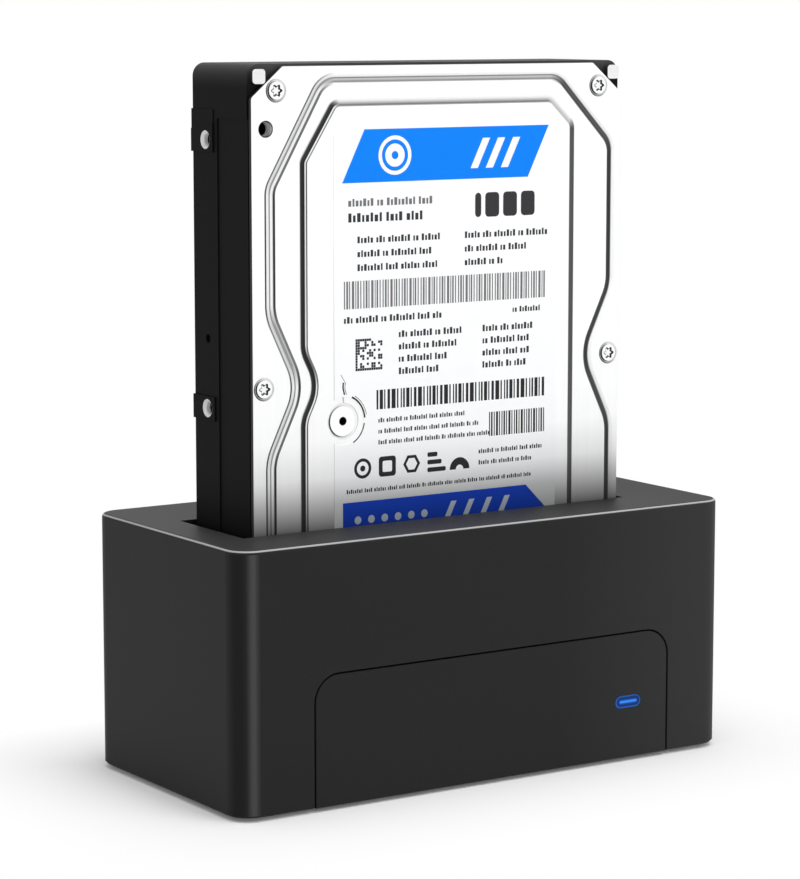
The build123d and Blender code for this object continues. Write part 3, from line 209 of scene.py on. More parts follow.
# The boards: copper tracks, and the density and edge of the plated holes.
TRACK_LENGTH = 17.0
TRACK_PITCH = 1.3
TRACK_WIDTH = 0.11
HOLE_SCALE = 260.0
HOLE_EDGE = (0.2, 0.15)

# Heights of fine relief in metres, and the stretch of brushed metal.
GRAIN_HEIGHT = 0.00005
COAT_HEIGHT = 0.00006
BRUSH_HEIGHT = 0.00002
BRUSH_STRETCH = (1.0, 1.0, 0.02)

# Settings for meshes: cosine that counts as level or straight, merging distances, and faces kept.
LEVEL = 0.999
MERGE = 1e-6
PRINT_MERGE = 1e-5
INNER_FACES = 1

# The camera, solved from the edges of the drive and the dock.
PHOTO_WIDTH = 800
PHOTO_HEIGHT = 879
LENS = 125.38
SENSOR = 36.0
CAMERA_PLACE = (-0.3929, -0.5902, 0.1750)
CAMERA_TILT = 7.99
CAMERA_TURN = 33.4


# Points and outlines

def on_drive(u, v, z):
    """Point of the drive, in millimetres from its left, connector end and mounting face."""
    return Vector(((DRIVE_LEFT + u) * MM, (DRIVE_REAR - z) * MM, (DRIVE_BOTTOM + v) * MM))


def drive_way(u, v, z):
    """Direction of the drive's own axes in the frame."""
    return Vector((u, -z, v))


def turned(way, angle):
    """A flat direction turned by an angle."""
    c, s = cos(angle), sin(angle)
    return Vector((way.x * c - way.y * s, way.x * s + way.y * c))


def rounded(points, radii, grow=0.0, steps=6):
    """Rounded outline of a counter-clockwise polygon moved outwards: its points and their outward ways."""
    result = []
    for i, corner in enumerate(points):
        before, here, after = Vector(points[i - 1]), Vector(corner), Vector(points[(i + 1) % len(points)])
        way_in, way_out = (here - before).normalized(), (after - here).normalized()
        side_in, side_out = Vector((way_in.y, -way_in.x)), Vector((way_out.y, -way_out.x))
        turn = atan2(way_in.x * way_out.y - way_in.y * way_out.x, way_in.dot(way_out))
        sign = 1 if turn > 0 else -1
        radius = radii[i] + sign * grow
        here = here + (side_in + side_out) / (1 + side_in.dot(side_out)) * grow
        start = here - way_in * radius * abs(tan(turn / 2))
        centre = start - side_in * radius * sign
        for k in range(steps + 1):
            side = turned(side_in, turn * k / steps)
            result.append((centre + side * radius * sign, side))
    return result


def towards(angle):
    return Vector((cos(angle), sin(angle)))


def arc(x, y, radius, start, sweep, count):
    """Points of an arc and their outward ways."""
    ways = [towards(start + sweep * i / count) for i in range(count + 1)]
    return [(Vector((x, y)) + way * radius, way) for way in ways]


def circle(x, y, radius, count):
    """Counter-clockwise circle."""
    return arc(x, y, radius, 0.0, FULL_TURN, count)[:-1]


def box_corners(left, low, right, high):
    """Corners of a rectangle, counter-clockwise."""
    return [(left, low), (right, low), (right, high), (left, high)]


def profile(points, radii, lead=True, tail=True, steps=4):
    """Rounded line across an edge: offset, height and surface way at each of its points.

    The line runs inwards, so offsets fall along it, and its surface looks up where it is level. Lead and
    tail tell whether the surface goes on level before and after it, which rounds its ends too.
    """
    points = lead * [(points[0][0] + 1, points[0][1])] + points + tail * [(points[-1][0] - 1, points[-1][1])]
    radii = [*(lead * [0]), *radii, *(tail * [0])]
    places = [Vector(point) for point in points]
    ways = [(after - before).normalized() for before, after in zip(places, places[1:])]
    result = []
    for here, radius, way_in, way_out in zip(places, radii, ways[:1] + ways, ways + ways[-1:]):
        if radius <= 0:
            result.append((here.x, here.y, way_in.y, -way_in.x))
            if way_in.dot(way_out) < LEVEL:
                result.append((here.x, here.y, way_out.y, -way_out.x))
            continue
        turn = atan2(way_in.x * way_out.y - way_in.y * way_out.x, way_in.dot(way_out))
        back = radius * abs(tan(turn / 2))
        for k in range(steps + 1):
            t = k / steps
            way = turned(way_in, turn * t)
            bend = here - way_in * back * (1 - t) * (1 - t) + way_out * back * t * t
            result.append((bend.x, bend.y, way.y, -way.x))
    return result[lead:len(result) - tail]


def inside(point, outline):
    """Whether a point lies inside an outline."""
    odd = False
    for i, b in enumerate(outline):
        a = outline[i - 1]
        if (a.y > point.y) != (b.y > point.y):
            if point.x < (b.x - a.x) * (point.y - a.y) / (b.y - a.y) + a.x:
                odd = not odd
    return odd


# Meshes

def painted(side, offset, table):
    """Painted shade and reflection on a wall, by its offset and outward way: nought is bright, one is black.
    """
    turn = atan2(side.y, side.x) / FULL_TURN % 1 * COMPASS
    first, share = int(turn) % COMPASS, turn % 1
    around = [row[first] * (1 - share) + row[(first + 1) % COMPASS] * share for _, row in table]
    shade = around[0] if offset > table[0][0] else around[-1]
    for i in range(len(table) - 1):
        start, end = table[i][0], table[i + 1][0]
        if end <= offset <= start:
            t = (start - offset) / (start - end)
            shade = around[i] * (1 - t) + around[i + 1] * t
    return 1 - (1 - shade / 100) ** SIGHT_GAMMA


def stations(line, table):
    """A profile with a point added at each offset of a tone table."""
    result = [line[0]]
    for before, after in zip(line, line[1:]):
        span = before[0] - after[0]
        for offset, _ in table:
            if after[0] < offset < before[0]:
                t = (before[0] - offset) / span
                result.append(tuple(a * (1 - t) + b * t for a, b in zip(before, after)))
        result.append(after)
    return result


def placed(name, data):
    """New object in the scene."""
    obj = bpy.data.objects.new(name, data)
    bpy.context.scene.collection.objects.link(obj)
    return obj


def closed(first, count):
    """Edges of a closed loop of points with running numbers."""
    return [(first + i, first + (i + 1) % count) for i in range(count)]


class Skin:
    """A mesh in the making, in the drive's millimetres."""

    def __init__(self):
        self.points, self.ways, self.tones, self.faces, self.inks = [], [], [], [], []

    def point(self, x, y, z, way, tone=0.0):
        self.points.append((x, y, z))
        self.ways.append(way)
        self.tones.append(tone)
        return len(self.points) - 1

    def ring(self, outline, height, out=0.0, up=1.0, offset=0.0, table=None):
        """Ring of points on an outline, whose surface looks along out and up."""
        ids = []
        for place, side in outline:
            tone = painted(side, offset, table) if table else 0.0
            ids.append(self.point(place.x, place.y, height, (side.x * out, side.y * out, up), tone))
        return ids

    def flat(self, i):
        return Vector(self.points[i][:2])

    def face(self, corners, ink=0):
        self.faces.append(tuple(corners))
        self.inks.append(ink)

    def strip(self, outer, inner):
        """Quads between two rings with the same count."""
        for i in range(len(outer)):
            j = (i + 1) % len(outer)
            self.face((outer[i], outer[j], inner[j], inner[i]))

    def sweep(self, outline_at, line, table=None):
        """Rings along a profile, joined up. Returns the first and the last, which are bright if level."""
        line = stations(line, table) if table else line
        rings = []
        for offset, height, out, up in line:
            rings.append(self.ring(outline_at(offset), height, out, up, offset, table))
        for outer, inner in zip(rings, rings[1:]):
            self.strip(outer, inner)
        for end, ring in ((line[0], rings[0]), (line[-1], rings[-1])):
            if end[3] > LEVEL:
                for i in ring:
                    self.tones[i] = 0.0
        return rings[0], rings[-1]

    def lathe(self, x, y, radius, count, line, table):
        """Sweep round a circle."""
        return self.sweep(lambda offset: circle(x, y, radius + offset, count), line, table)

    def fill(self, loops, up=True):
        """Level faces inside the first loop and outside the others."""
        ids, edges = [], []
        for loop in loops:
            edges += closed(len(ids), len(loop))
            ids += loop
        holes = [[self.flat(i) for i in loop] for loop in loops[1:]]
        flat_points = [self.flat(i) for i in ids]
        _, _, faces, origins, _, _ = delaunay_2d_cdt(flat_points, edges, [], INNER_FACES, MERGE)
        for face in faces:
            corners = [ids[origins[i][0]] for i in face]
            middle = sum((self.flat(i) for i in corners), Vector((0, 0))) / len(corners)
            if not any(inside(middle, hole) for hole in holes):
                self.face(corners if up else reversed(corners))

    def piece(self, name, materials):
        """The finished object."""
        mesh = bpy.data.meshes.new(name)
        mesh.from_pydata([on_drive(*p) for p in self.points], [], self.faces)
        tone = mesh.attributes.new("tone", "FLOAT", "POINT")
        tone.data.foreach_set("value", self.tones)
        mesh.polygons.foreach_set("material_index", self.inks)
        mesh.polygons.foreach_set("use_smooth", [True] * len(self.faces))
        mesh.normals_split_custom_set_from_vertices([drive_way(*w).normalized() for w in self.ways])
        for material in materials:
            mesh.materials.append(material)
        return placed(name, mesh)


# Materials

class Net:
    """A node tree in the making. Where it takes a value, that is an output of a node or a plain value."""

    def __init__(self, tree):
        self.nodes, self.links = tree.nodes, tree.links
        self.shader = self.nodes.get("Principled BSDF")

    def feed(self, socket, value):
        """An input linked to an output, or set to a plain value or colour."""
        if isinstance(value, bpy.types.NodeSocket):
            self.links.new(value, socket)
        else:
            socket.default_value = (*value, 1) if socket.type == "RGBA" else value

    def fill(self, node, inputs):
        """Named inputs of a node."""
        for name, value in inputs.items():
            self.feed(node.inputs[name], value)

    def node(self, kind, inputs=None, **settings):
        """New node of a kind, with its settings and its named inputs."""
        node = self.nodes.new("ShaderNode" + kind)
        for name, value in settings.items():
            setattr(node, name, value)
        self.fill(node, inputs or {})
        return node

    def calc(self, operation, first, second=None):
        """Output of a Math node."""
        node = self.node("Math", operation=operation)
        self.feed(node.inputs[0], first)
        if second is not None:
            self.feed(node.inputs[1], second)
        return node.outputs["Value"]

    def times(self, first, second):
        return self.calc("MULTIPLY", first, second)

    def apart(self, value, place):
        """Distance of a coordinate from a place."""
        return self.calc("ABSOLUTE", self.calc("SUBTRACT", value, place))

    def beyond(self, value, middle, reach):
        """How far a coordinate lies beyond a reach on either side of a middle."""
        return self.calc("MAXIMUM", self.calc("SUBTRACT", self.apart(value, middle), reach), 0.0)

    def sum_of_squares(self, first, second):
        return self.calc("ADD", self.times(first, first), self.times(second, second))

    def length(self, first, second):
        """Length of a flat way from its two parts."""
        return self.calc("SQRT", self.sum_of_squares(first, second))

    def round_mask(self, first, second, radius):
        """One within a radius of an axis: each pair is a coordinate and the axis's place on it."""
        ways = [self.calc("SUBTRACT", value, middle) for value, middle in (first, second)]
        return self.calc("LESS_THAN", self.sum_of_squares(*ways), radius * radius)

    def ranged(self, value, low, high):
        """A value mapped from a range onto nought to one and held there."""
        return self.node("MapRange", {"Value": value, "From Min": low, "From Max": high}).outputs["Result"]

    def band(self, value, rise, full, fall, gone):
        """One from full to fall, nought before rise and after gone, with slopes between."""
        return self.times(self.ranged(value, rise, full), self.ranged(value, gone, fall))

    def mixed(self, factor, first, second, blend="MIX"):
        """Colour between two colours."""
        mix = self.node("Mix", data_type="RGBA", blend_type=blend)
        for index, value in ((0, factor), (6, first), (7, second)):
            self.feed(mix.inputs[index], value)
        return mix.outputs[2]

    def ramp(self, value, stops):
        """Colour along a ramp with the given stops."""
        node = self.node("ValToRGB", {"Fac": value})
        while len(node.color_ramp.elements) < len(stops):
            node.color_ramp.elements.new(0.5)
        for element, (share, colour) in zip(node.color_ramp.elements, stops):
            element.position = share
            element.color = (*colour, 1)
        return node.outputs["Color"]

    def place(self):
        return self.node("TexCoord").outputs["Object"]

    def split(self, vector=None):
        """X, Y and Z outputs of a vector, or of the object's own coordinates."""
        return self.node("SeparateXYZ", {"Vector": vector or self.place()}).outputs

    def noise(self, scale, detail=3.0, stretch=None):
        """Noise on the object's own coordinates, stretched if asked."""
        source = self.place()
        if stretch:
            source = self.node("Mapping", {"Vector": source, "Scale": stretch}).outputs["Vector"]
        return self.node("TexNoise", {"Vector": source, "Scale": scale, "Detail": detail}).outputs["Fac"]

    def bump(self, height, strength, distance=GRAIN_HEIGHT):
        """Relief on the main shader."""
        node = self.node("Bump", {"Height": height, "Strength": strength, "Distance": distance})
        self.fill(self.shader, {"Normal": node.outputs["Normal"]})

    def dress(self, colour, rough, specular, others=None):
        """Colour, roughness, specular level and other named inputs of the main shader."""
        values = {"Base Color": colour, "Roughness": rough, "Specular IOR Level": specular}
        self.fill(self.shader, {**values, **(others or {})})

    def white_rays(self):
        """One for camera, glossy and transmission rays, nought for the others."""
        rays = self.node("LightPath").outputs
        seen = self.calc("MAXIMUM", rays["Is Camera Ray"], rays["Is Glossy Ray"])
        return self.calc("MAXIMUM", seen, rays["Is Transmission Ray"])

    def blend(self, factor, first, second):
        """Shader between two shaders."""
        mix = self.node("MixShader")
        for socket, value in zip(mix.inputs, (factor, first, second)):
            self.feed(socket, value)
        return mix.outputs["Shader"]


def new_material(name):
    """New material and its node tree."""
    material = bpy.data.materials.new(name)
    material.use_nodes = True
    return material, Net(material.node_tree)


def grained(name, colour, spread, rough, specular, scale, bump, metallic=0.0, stretch=None):
    """Surface whose colour and relief vary with a fine grain."""
    material, net = new_material(name)
    grain = net.noise(scale, stretch=stretch)
    low = tuple(c * (1 - spread) for c in colour)
    high = tuple(min(c * (1 + spread), 1) for c in colour)
    net.dress(net.mixed(grain, low, high), rough, specular, {"Metallic": metallic})
    net.bump(grain, bump)
    return material


def shaded_near_slot(net, colour, floor):
    """Colour darkened towards the dock's rim: painted shade, as the bright sheet would mirror the dark slot.
    """
    height = net.ranged(net.split()["Z"], SLOT_SHADE_LOW * MM, SLOT_SHADE_HIGH * MM)
    levels = ((0.0, 1.0), (0.36, floor), (0.42, floor), (0.56, 0.45), (0.7, 0.82), (0.9, 1.0))
    shade = net.ramp(height, [(share, 3 * (level,)) for share, level in levels])
    return net.mixed(1.0, colour, shade, "MULTIPLY")


def cover_material():
    """Satin sheet metal, near white, with its walls painted as dark as what they would mirror, and painted
    shade towards the slot.
    """
    material, net = new_material("cover_sheet")
    tone = net.node("Attribute", attribute_name="tone").outputs["Fac"]
    brush = net.noise(900.0, 2.0, BRUSH_STRETCH)
    bright = net.mixed(brush, (0.9, 0.903, 0.906), (0.97, 0.972, 0.975))
    # Painted reflection and shade: the walls take this dark colour as far as their painted shade reaches.
    dark = net.mixed(brush, (0.008, 0.008, 0.0085), (0.014, 0.014, 0.0145))
    net.dress(net.mixed(tone, shaded_near_slot(net, bright, COVER_SLOT_SHADE), dark), rough=0.45, specular=0.15)
    net.bump(brush, 0.04, BRUSH_HEIGHT)
    return material


def casting_material():
    """Black coated casting, bare on its corner pads, round its tool hole and in its side holes."""
    material, net = new_material("casting_coat")
    grain = net.noise(2600.0)
    coat = net.mixed(grain, (0.005, 0.005, 0.0052), (0.008, 0.008, 0.0084))
    x, y, z = net.split()
    pads = net.calc("LESS_THAN", y, (DRIVE_REAR - FLANGE_TOP + PAD_BARE_DEPTH) * MM)
    middle = (DRIVE_LEFT + DRIVE_WIDTH / 2) * MM
    shallow = net.calc("GREATER_THAN", net.apart(x, middle), (DRIVE_WIDTH / 2 - SIDE_HOLE_WALL) * MM)
    tool_axis = (x, (DRIVE_LEFT + TOOL_X) * MM), (z, (DRIVE_BOTTOM + TOOL_Y) * MM)
    mouth = net.calc("LESS_THAN", y, (DRIVE_REAR - FLANGE_TOP + TOOL_BARE_DEPTH) * MM)
    bare = net.times(net.round_mask(*tool_axis, TOOL_BARE * MM), mouth)
    for height in SIDE_HOLE_HEIGHTS:
        hole_axis = (z, (DRIVE_BOTTOM + height) * MM), (y, (DRIVE_REAR - SIDE_HOLE_DEPTH) * MM)
        ring = net.round_mask(*hole_axis, SIDE_HOLE_BARE * MM)
        bare = net.calc("MAXIMUM", bare, net.times(ring, shallow))
    bare = net.calc("MAXIMUM", bare, pads)
    # Painted sheen: the coat is painted lighter near the casting's top end.
    top = (DRIVE_BOTTOM + DRIVE_LENGTH) * MM
    sheen = net.calc("POWER", net.ranged(z, top - TOP_PAINTED_SHEEN * MM, top), TOP_PAINTED_SHEEN_CURVE)
    coat = net.mixed(sheen, coat, (0.07, 0.07, 0.072))
    steel = net.mixed(grain, (0.72, 0.72, 0.73), (0.86, 0.86, 0.87))
    net.dress(net.mixed(bare, coat, steel), rough=0.5, specular=0.03)
    net.bump(grain, 0.12, COAT_HEIGHT)
    return material


def ink_material(name, colour):
    """Printed film: a barely uneven colour with a soft sheen, and painted shade towards the slot."""
    material, net = new_material(name)
    low = tuple(c * 0.97 for c in colour)
    ink = net.mixed(net.noise(260.0), low, colour)
    net.dress(shaded_near_slot(net, ink, FILM_SLOT_SHADE), rough=0.5, specular=0.1)
    return material


def light_material():
    """Lit blue pill: a bright core inside a deep blue ring, with a paler ring outside it and a dark rim."""
    material, net = new_material("status_light")
    low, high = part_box("light_pipe")
    x, _, z = net.split()
    half = (high.z - low.z) / 2
    along = net.beyond(x, (low.x + high.x) / 2, (high.x - low.x) / 2 - half)
    up = net.calc("SUBTRACT", z, (low.z + high.z) / 2 + LIGHT_CORE_RISE * MM)
    away = net.ranged(net.length(up, along), 0.0, half)
    glow = {"Emission Color": net.ramp(away, LIGHT_STOPS), "Emission Strength": LIGHT_STRENGTH}
    net.dress((0.0, 0.01, 0.03), rough=0.25, specular=0.2, others=glow)
    return material


def dock_material():
    """Dark grained plastic with a painted highlight line round its top rim.

    Its front left corner has a painted sheen, the edges of its corners have painted shade, its front is
    painted lighter towards the right, and its top is painted darker towards the right.
    """
    material, net = new_material("dock_plastic")
    grain = net.noise(3200.0)
    body = net.mixed(grain, (0.0125, 0.0125, 0.013), (0.0165, 0.0165, 0.017))
    x, _, z = net.split()
    # Painted light: the body is painted lighter towards the right.
    right = net.ranged(x, RIGHT_FROM * MM, RIGHT_AT * MM)
    body = net.mixed(right, body, (0.028, 0.028, 0.0285))
    way = net.split(net.node("NewGeometry").outputs["Normal"])
    upright = net.ranged(net.calc("ABSOLUTE", way["Z"]), *UPRIGHT)
    # Painted shade on the edges of the corners, and a painted sheen on the front left corner.
    dim = net.band(net.calc("ABSOLUTE", way["X"]), *CORNER_SHADE)
    sheen = net.band(net.times(way["X"], -1.0), *CORNER_PAINTED_SHEEN)
    body = net.mixed(net.times(dim, upright), body, (0.009, 0.009, 0.0094))
    body = net.mixed(net.times(sheen, upright), body, (0.055, 0.055, 0.056))
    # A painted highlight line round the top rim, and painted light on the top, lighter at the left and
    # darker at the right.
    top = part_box("dock_shell")[1].z
    outer = net.ranged(z, top - RIM_DEPTH * MM, top - RIM_FULL_DEPTH * MM)
    rim = net.times(net.band(way["Z"], *RIM_HIGHLIGHT_SLOPE), outer)
    painted_top = net.mixed(right, (0.036, 0.036, 0.037), (0.013, 0.013, 0.0135))
    body = net.mixed(net.times(net.ranged(way["Z"], *PAINTED_TOP_SLOPE), outer), body, painted_top)
    net.dress(net.mixed(rim, body, (0.44, 0.44, 0.445)), rough=0.5, specular=0.1)
    net.bump(grain, 0.1)
    return material


def board_material():
    """Green lacquered board with fine copper tracks under the lacquer and small plated holes."""
    material, net = new_material("board_green")
    lacquer = net.mixed(net.noise(700.0), (0.008, 0.07, 0.03), (0.014, 0.115, 0.05))
    x, y, z = net.split()
    flat = net.node("CombineXYZ", {"X": x, "Y": net.calc("ADD", y, z)}).outputs["Vector"]
    layout = {"Vector": flat, "Scale": 1.0, "Brick Width": TRACK_LENGTH * MM, "Row Height": TRACK_PITCH * MM,
              "Mortar Size": TRACK_WIDTH * MM, "Mortar Smooth": 0.1}
    tracks = net.node("TexBrick", layout).outputs["Fac"]
    board = net.mixed(tracks, lacquer, (0.028, 0.19, 0.085))
    holes = net.node("TexVoronoi", {"Vector": net.place(), "Scale": HOLE_SCALE})
    plated = net.ranged(holes.outputs["Distance"], *HOLE_EDGE)
    net.dress(net.mixed(plated, board, (0.4, 0.36, 0.24)), rough=0.34, specular=0.5)
    net.bump(tracks, 0.15)
    return material


# Plain surfaces: colour, its spread, roughness, specular level, grain scale, relief, then metal and stretch.
GRAINED = {
    "black_plastic": ((0.012, 0.012, 0.0125), 0.15, 0.4, 0.4, 2400.0, 0.08),
    "screw_steel": ((0.62, 0.62, 0.63), 0.1, 0.3, 0.5, 1500.0, 0.06, 0.9),
    "foot_rubber": ((0.018, 0.018, 0.018), 0.2, 0.75, 0.3, 2600.0, 0.2),
    "contact_gold": ((0.85, 0.6, 0.25), 0.08, 0.22, 0.5, 1800.0, 0.05, 1.0),
    "can_aluminium": ((0.72, 0.72, 0.74), 0.07, 0.26, 0.5, 1600.0, 0.05, 1.0),
    "socket_steel": ((0.6, 0.6, 0.62), 0.06, 0.25, 0.5, 1400.0, 0.05, 1.0),
    "insert_blue": ((0.02, 0.13, 0.5), 0.1, 0.4, 0.5, 2000.0, 0.05),
    "platter_mirror": ((0.8, 0.8, 0.82), 0.02, 0.06, 0.5, 400.0, 0.01, 1.0),
    "coil_copper": ((0.75, 0.34, 0.16), 0.25, 0.3, 0.5, 900.0, 0.15, 0.9, (1.0, 1.0, 6.0)),
}


def slot_materials():
    """One procedural material for each material slot of the record."""
    return {
        **{slot: grained(slot, *values) for slot, values in GRAINED.items()},
        "dock_plastic": dock_material(),
        "light_blue": light_material(),
        "board_green": board_material(),
        "casting_black": casting_material(),
        "cover_aluminium": cover_material(),
        "label_white": ink_material("label_film", (0.93, 0.94, 0.95)),
    }


# The drive's cover

# Painted shade and reflection on the pressed walls, screw heads and holes, as darkness in percent, from
# the outside inwards. Each row is an offset from the outline, and eight shades for where the outline's
# outward way points: right, up-right, up, up-left, left, down-left, down and down-right.
COMPASS = 8
SIGHT_GAMMA = 2.2
BRIGHT = COMPASS * (0,)
EDGE_TONES = ((0.0, (35, 30, 75, 90, 95, 90, 60, 40)), (-0.12, BRIGHT))
CHANNEL_TONES = (
    (1.56, BRIGHT),
    (1.5, (0, 0, 0, 50, 88, 20, 50, 0)),
    (1.2, (0, 0, 0, 48, 90, 24, 50, 0)),
    (1.12, (0, 0, 0, 14, 10, 28, 50, 0)),
    (0.6, (0, 5, 5, 12, 5, 30, 50, 0)),
    (0.52, (5, 20, 50, 30, 6, 34, 50, 5)),
    (0.32, (15, 80, 50, 40, 8, 38, 50, 15)),
    (0.26, (60, 80, 28, 55, 50, 40, 50, 55)),
    (0.05, (84, 70, 24, 55, 50, 45, 50, 72)),
    (-0.02, (85, 68, 26, 20, 8, 70, 50, 74)),
    (-0.35, (85, 70, 45, 8, 4, 66, 50, 76)),
    (-0.42, (84, 78, 46, 6, 4, 40, 50, 76)),
    (-0.62, (84, 80, 40, 10, 8, 36, 50, 76)),
    (-0.7, (84, 80, 6, 50, 78, 34, 50, 76)),
    (-1.0, (82, 50, 2, 50, 82, 30, 50, 74)),
    (-1.12, (78, 10, 0, 40, 80, 24, 50, 70)),
    (-1.22, BRIGHT))
STEP_TONES = (
    (0.42, BRIGHT),
    (0.34, (66, 6, 0, 0, 0, 0, 30, 66)),
    (0.0, (74, 12, 6, 30, 10, 10, 50, 74)),
    (-0.06, (74, 16, 8, 66, 72, 70, 50, 74)),
    (-0.32, (74, 22, 15, 84, 86, 92, 50, 74)),
    (-0.92, (74, 30, 42, 90, 99, 84, 50, 74)),
    (-1.0, (74, 30, 50, 8, 10, 90, 50, 74)),
    (-1.2, (72, 28, 58, 5, 6, 88, 50, 74)),
    (-1.27, (66, 22, 50, 45, 82, 30, 50, 70)),
    (-1.46, (50, 10, 30, 40, 84, 10, 50, 50)),
    (-1.54, BRIGHT))
DIMPLE_TONES = (
    (0.11, (0, 0, 0, 30, 85, 70, 30, 0)),
    (-0.1, (20, 8, 10, 40, 92, 88, 40, 20)),
    (-0.3, (20, 8, 10, 30, 80, 75, 30, 20)),
    (-0.42, BRIGHT))
HEAD_TONES = (
    (0.0, (25, 20, 20, 60, 97, 95, 50, 25)),
    (-0.1, (20, 15, 12, 40, 90, 85, 30, 20)),
    (-0.2, BRIGHT))
STAR_TONES = (
    (0.1, BRIGHT),
    (0.06, (98, 98, 90, 85, 90, 80, 80, 97)),
    (-0.34, (100, 97, 85, 70, 80, 60, 70, 97)),
    (-0.44, BRIGHT))
HOLE_TONES = (
    (0.3, BRIGHT),
    (0.24, (75, 85, 90, 90, 90, 90, 90, 85)),
    (0.06, (50, 85, 95, 95, 95, 95, 95, 85)),
    (0.0, (0, 20, 85, 95, 95, 95, 85, 20)))
BORE_TONES = ((0.1, BRIGHT), (0.06, COMPASS * (85,)), (0.0, COMPASS * (100,)))
TROUGH_TONES = ((0.02, BRIGHT), (-0.02, (18, 15, 18, 20, 20, 30, 25, 20)))
ISLAND_TONES = (
    (0.06, (10, 10, 20, 50, 92, 90, 30, 12)),
    (-0.2, (5, 5, 10, 35, 90, 88, 15, 6)),
    (-0.26, BRIGHT))


def cover_edge(offset):
    """Outer edge of the cover moved outwards."""
    left, right = COVER_SIDE, DRIVE_WIDTH - COVER_SIDE
    low, high = COVER_END, DRIVE_LENGTH - COVER_END
    points = [
        (left, low), (right, low),
        (right, high - COVER_CUT_Y), (right - COVER_CUT_X, high),
        (left + COVER_CUT_X, high), (left, high - COVER_CUT_Y)]
    return rounded(points, len(points) * [COVER_CORNER], offset, 4)


def plateau_edge(offset):
    """Foot of the raised middle moved outwards."""
    left, right = PLATEAU_SIDE, DRIVE_WIDTH - PLATEAU_RIGHT_SIDE
    low, high = PLATEAU_START, DRIVE_LENGTH - PLATEAU_END
    half = PLATEAU_BULGE_HALF
    points = [
        (left, low), (right, low),
        (right, high - PLATEAU_RIGHT_DROP), (right - PLATEAU_RIGHT_RUN, high),
        (left + PLATEAU_LEFT_RUN, high), (left, high - PLATEAU_LEFT_DROP),
        (left, WAIST + half), (left + PLATEAU_BULGE, WAIST), (left, WAIST - half)]
    return rounded(points, 6 * [PLATEAU_CORNER] + 3 * [PLATEAU_BULGE_RADIUS], offset, 8)


def channel_line(offset):
    """Centre line of the pressed channel moved outwards."""
    left, right = CHANNEL_SIDE, DRIVE_WIDTH - CHANNEL_RIGHT_SIDE
    low, high = CHANNEL_START, DRIVE_LENGTH - CHANNEL_END
    run, half = CHANNEL_BOTTOM_RUN, CHANNEL_BULGE_HALF
    points = [
        (left + run, low), (right - run, low), (right, low + run),
        (right, WAIST_RIGHT - half), (right - CHANNEL_BULGE, WAIST_RIGHT), (right, WAIST_RIGHT + half),
        (right, high - CHANNEL_RIGHT_DROP), (right - CHANNEL_RIGHT_RUN, high),
        (left + CHANNEL_LEFT_RUN, high), (left, high - CHANNEL_LEFT_DROP),
        (left, WAIST + half), (left + CHANNEL_BULGE, WAIST), (left, WAIST - half),
        (left, low + run)]
    bulge = 3 * [CHANNEL_BULGE_RADIUS]
    radii = 3 * [CHANNEL_CORNER] + bulge + 4 * [CHANNEL_CORNER] + bulge + [CHANNEL_CORNER]
    return rounded(points, radii, offset, 10)


def cover_screw_places():
    """Places of the six cover screws."""
    places = []
    top = DRIVE_LENGTH - SCREW_TOP_Y
    rows = (
        (SCREW_TOP_X, top, top),
        (SCREW_WAIST_X, WAIST, WAIST_RIGHT),
        (SCREW_LOW_X, SCREW_LOW_Y, SCREW_LOW_Y))
    for inset, y, right_y in rows:
        places += [(inset, y), (DRIVE_WIDTH - inset, right_y)]
    return places


def dimple(x, y, offset):
    """Round dimple of a cover screw, flattened where the cover's corner is cut off."""
    result = circle(x, y, DIMPLE + offset, 48)
    if y < DRIVE_LENGTH / 2 + WAIST / 2:
        return result
    cut = Vector((COVER_CUT_Y * (1 if x > DRIVE_WIDTH / 2 else -1), COVER_CUT_X)).normalized()
    middle, limit = Vector((x, y)), DIMPLE_CUT + offset
    flat = []
    for place, way in result:
        over = (place - middle).dot(cut) - limit
        flat.append((place - cut * over, cut) if over > 0 else (place, way))
    return flat


def vent_outline(offset):
    """Breather groove with its tail, as one outline moved outwards."""
    half = VENT_GROOVE / 2 + offset
    radius = VENT_RING + offset
    start = acos(half / radius)
    sweep = FULL_TURN - (pi - 2 * start)
    result = arc(VENT_X, VENT_Y, radius, pi - start, sweep, 40)
    top = VENT_Y + VENT_RING + VENT_TAIL + offset
    result.append((Vector((VENT_X + half, top)), Vector((1, 0))))
    result.append((Vector((VENT_X - half, top)), Vector((-1, 0))))
    return result


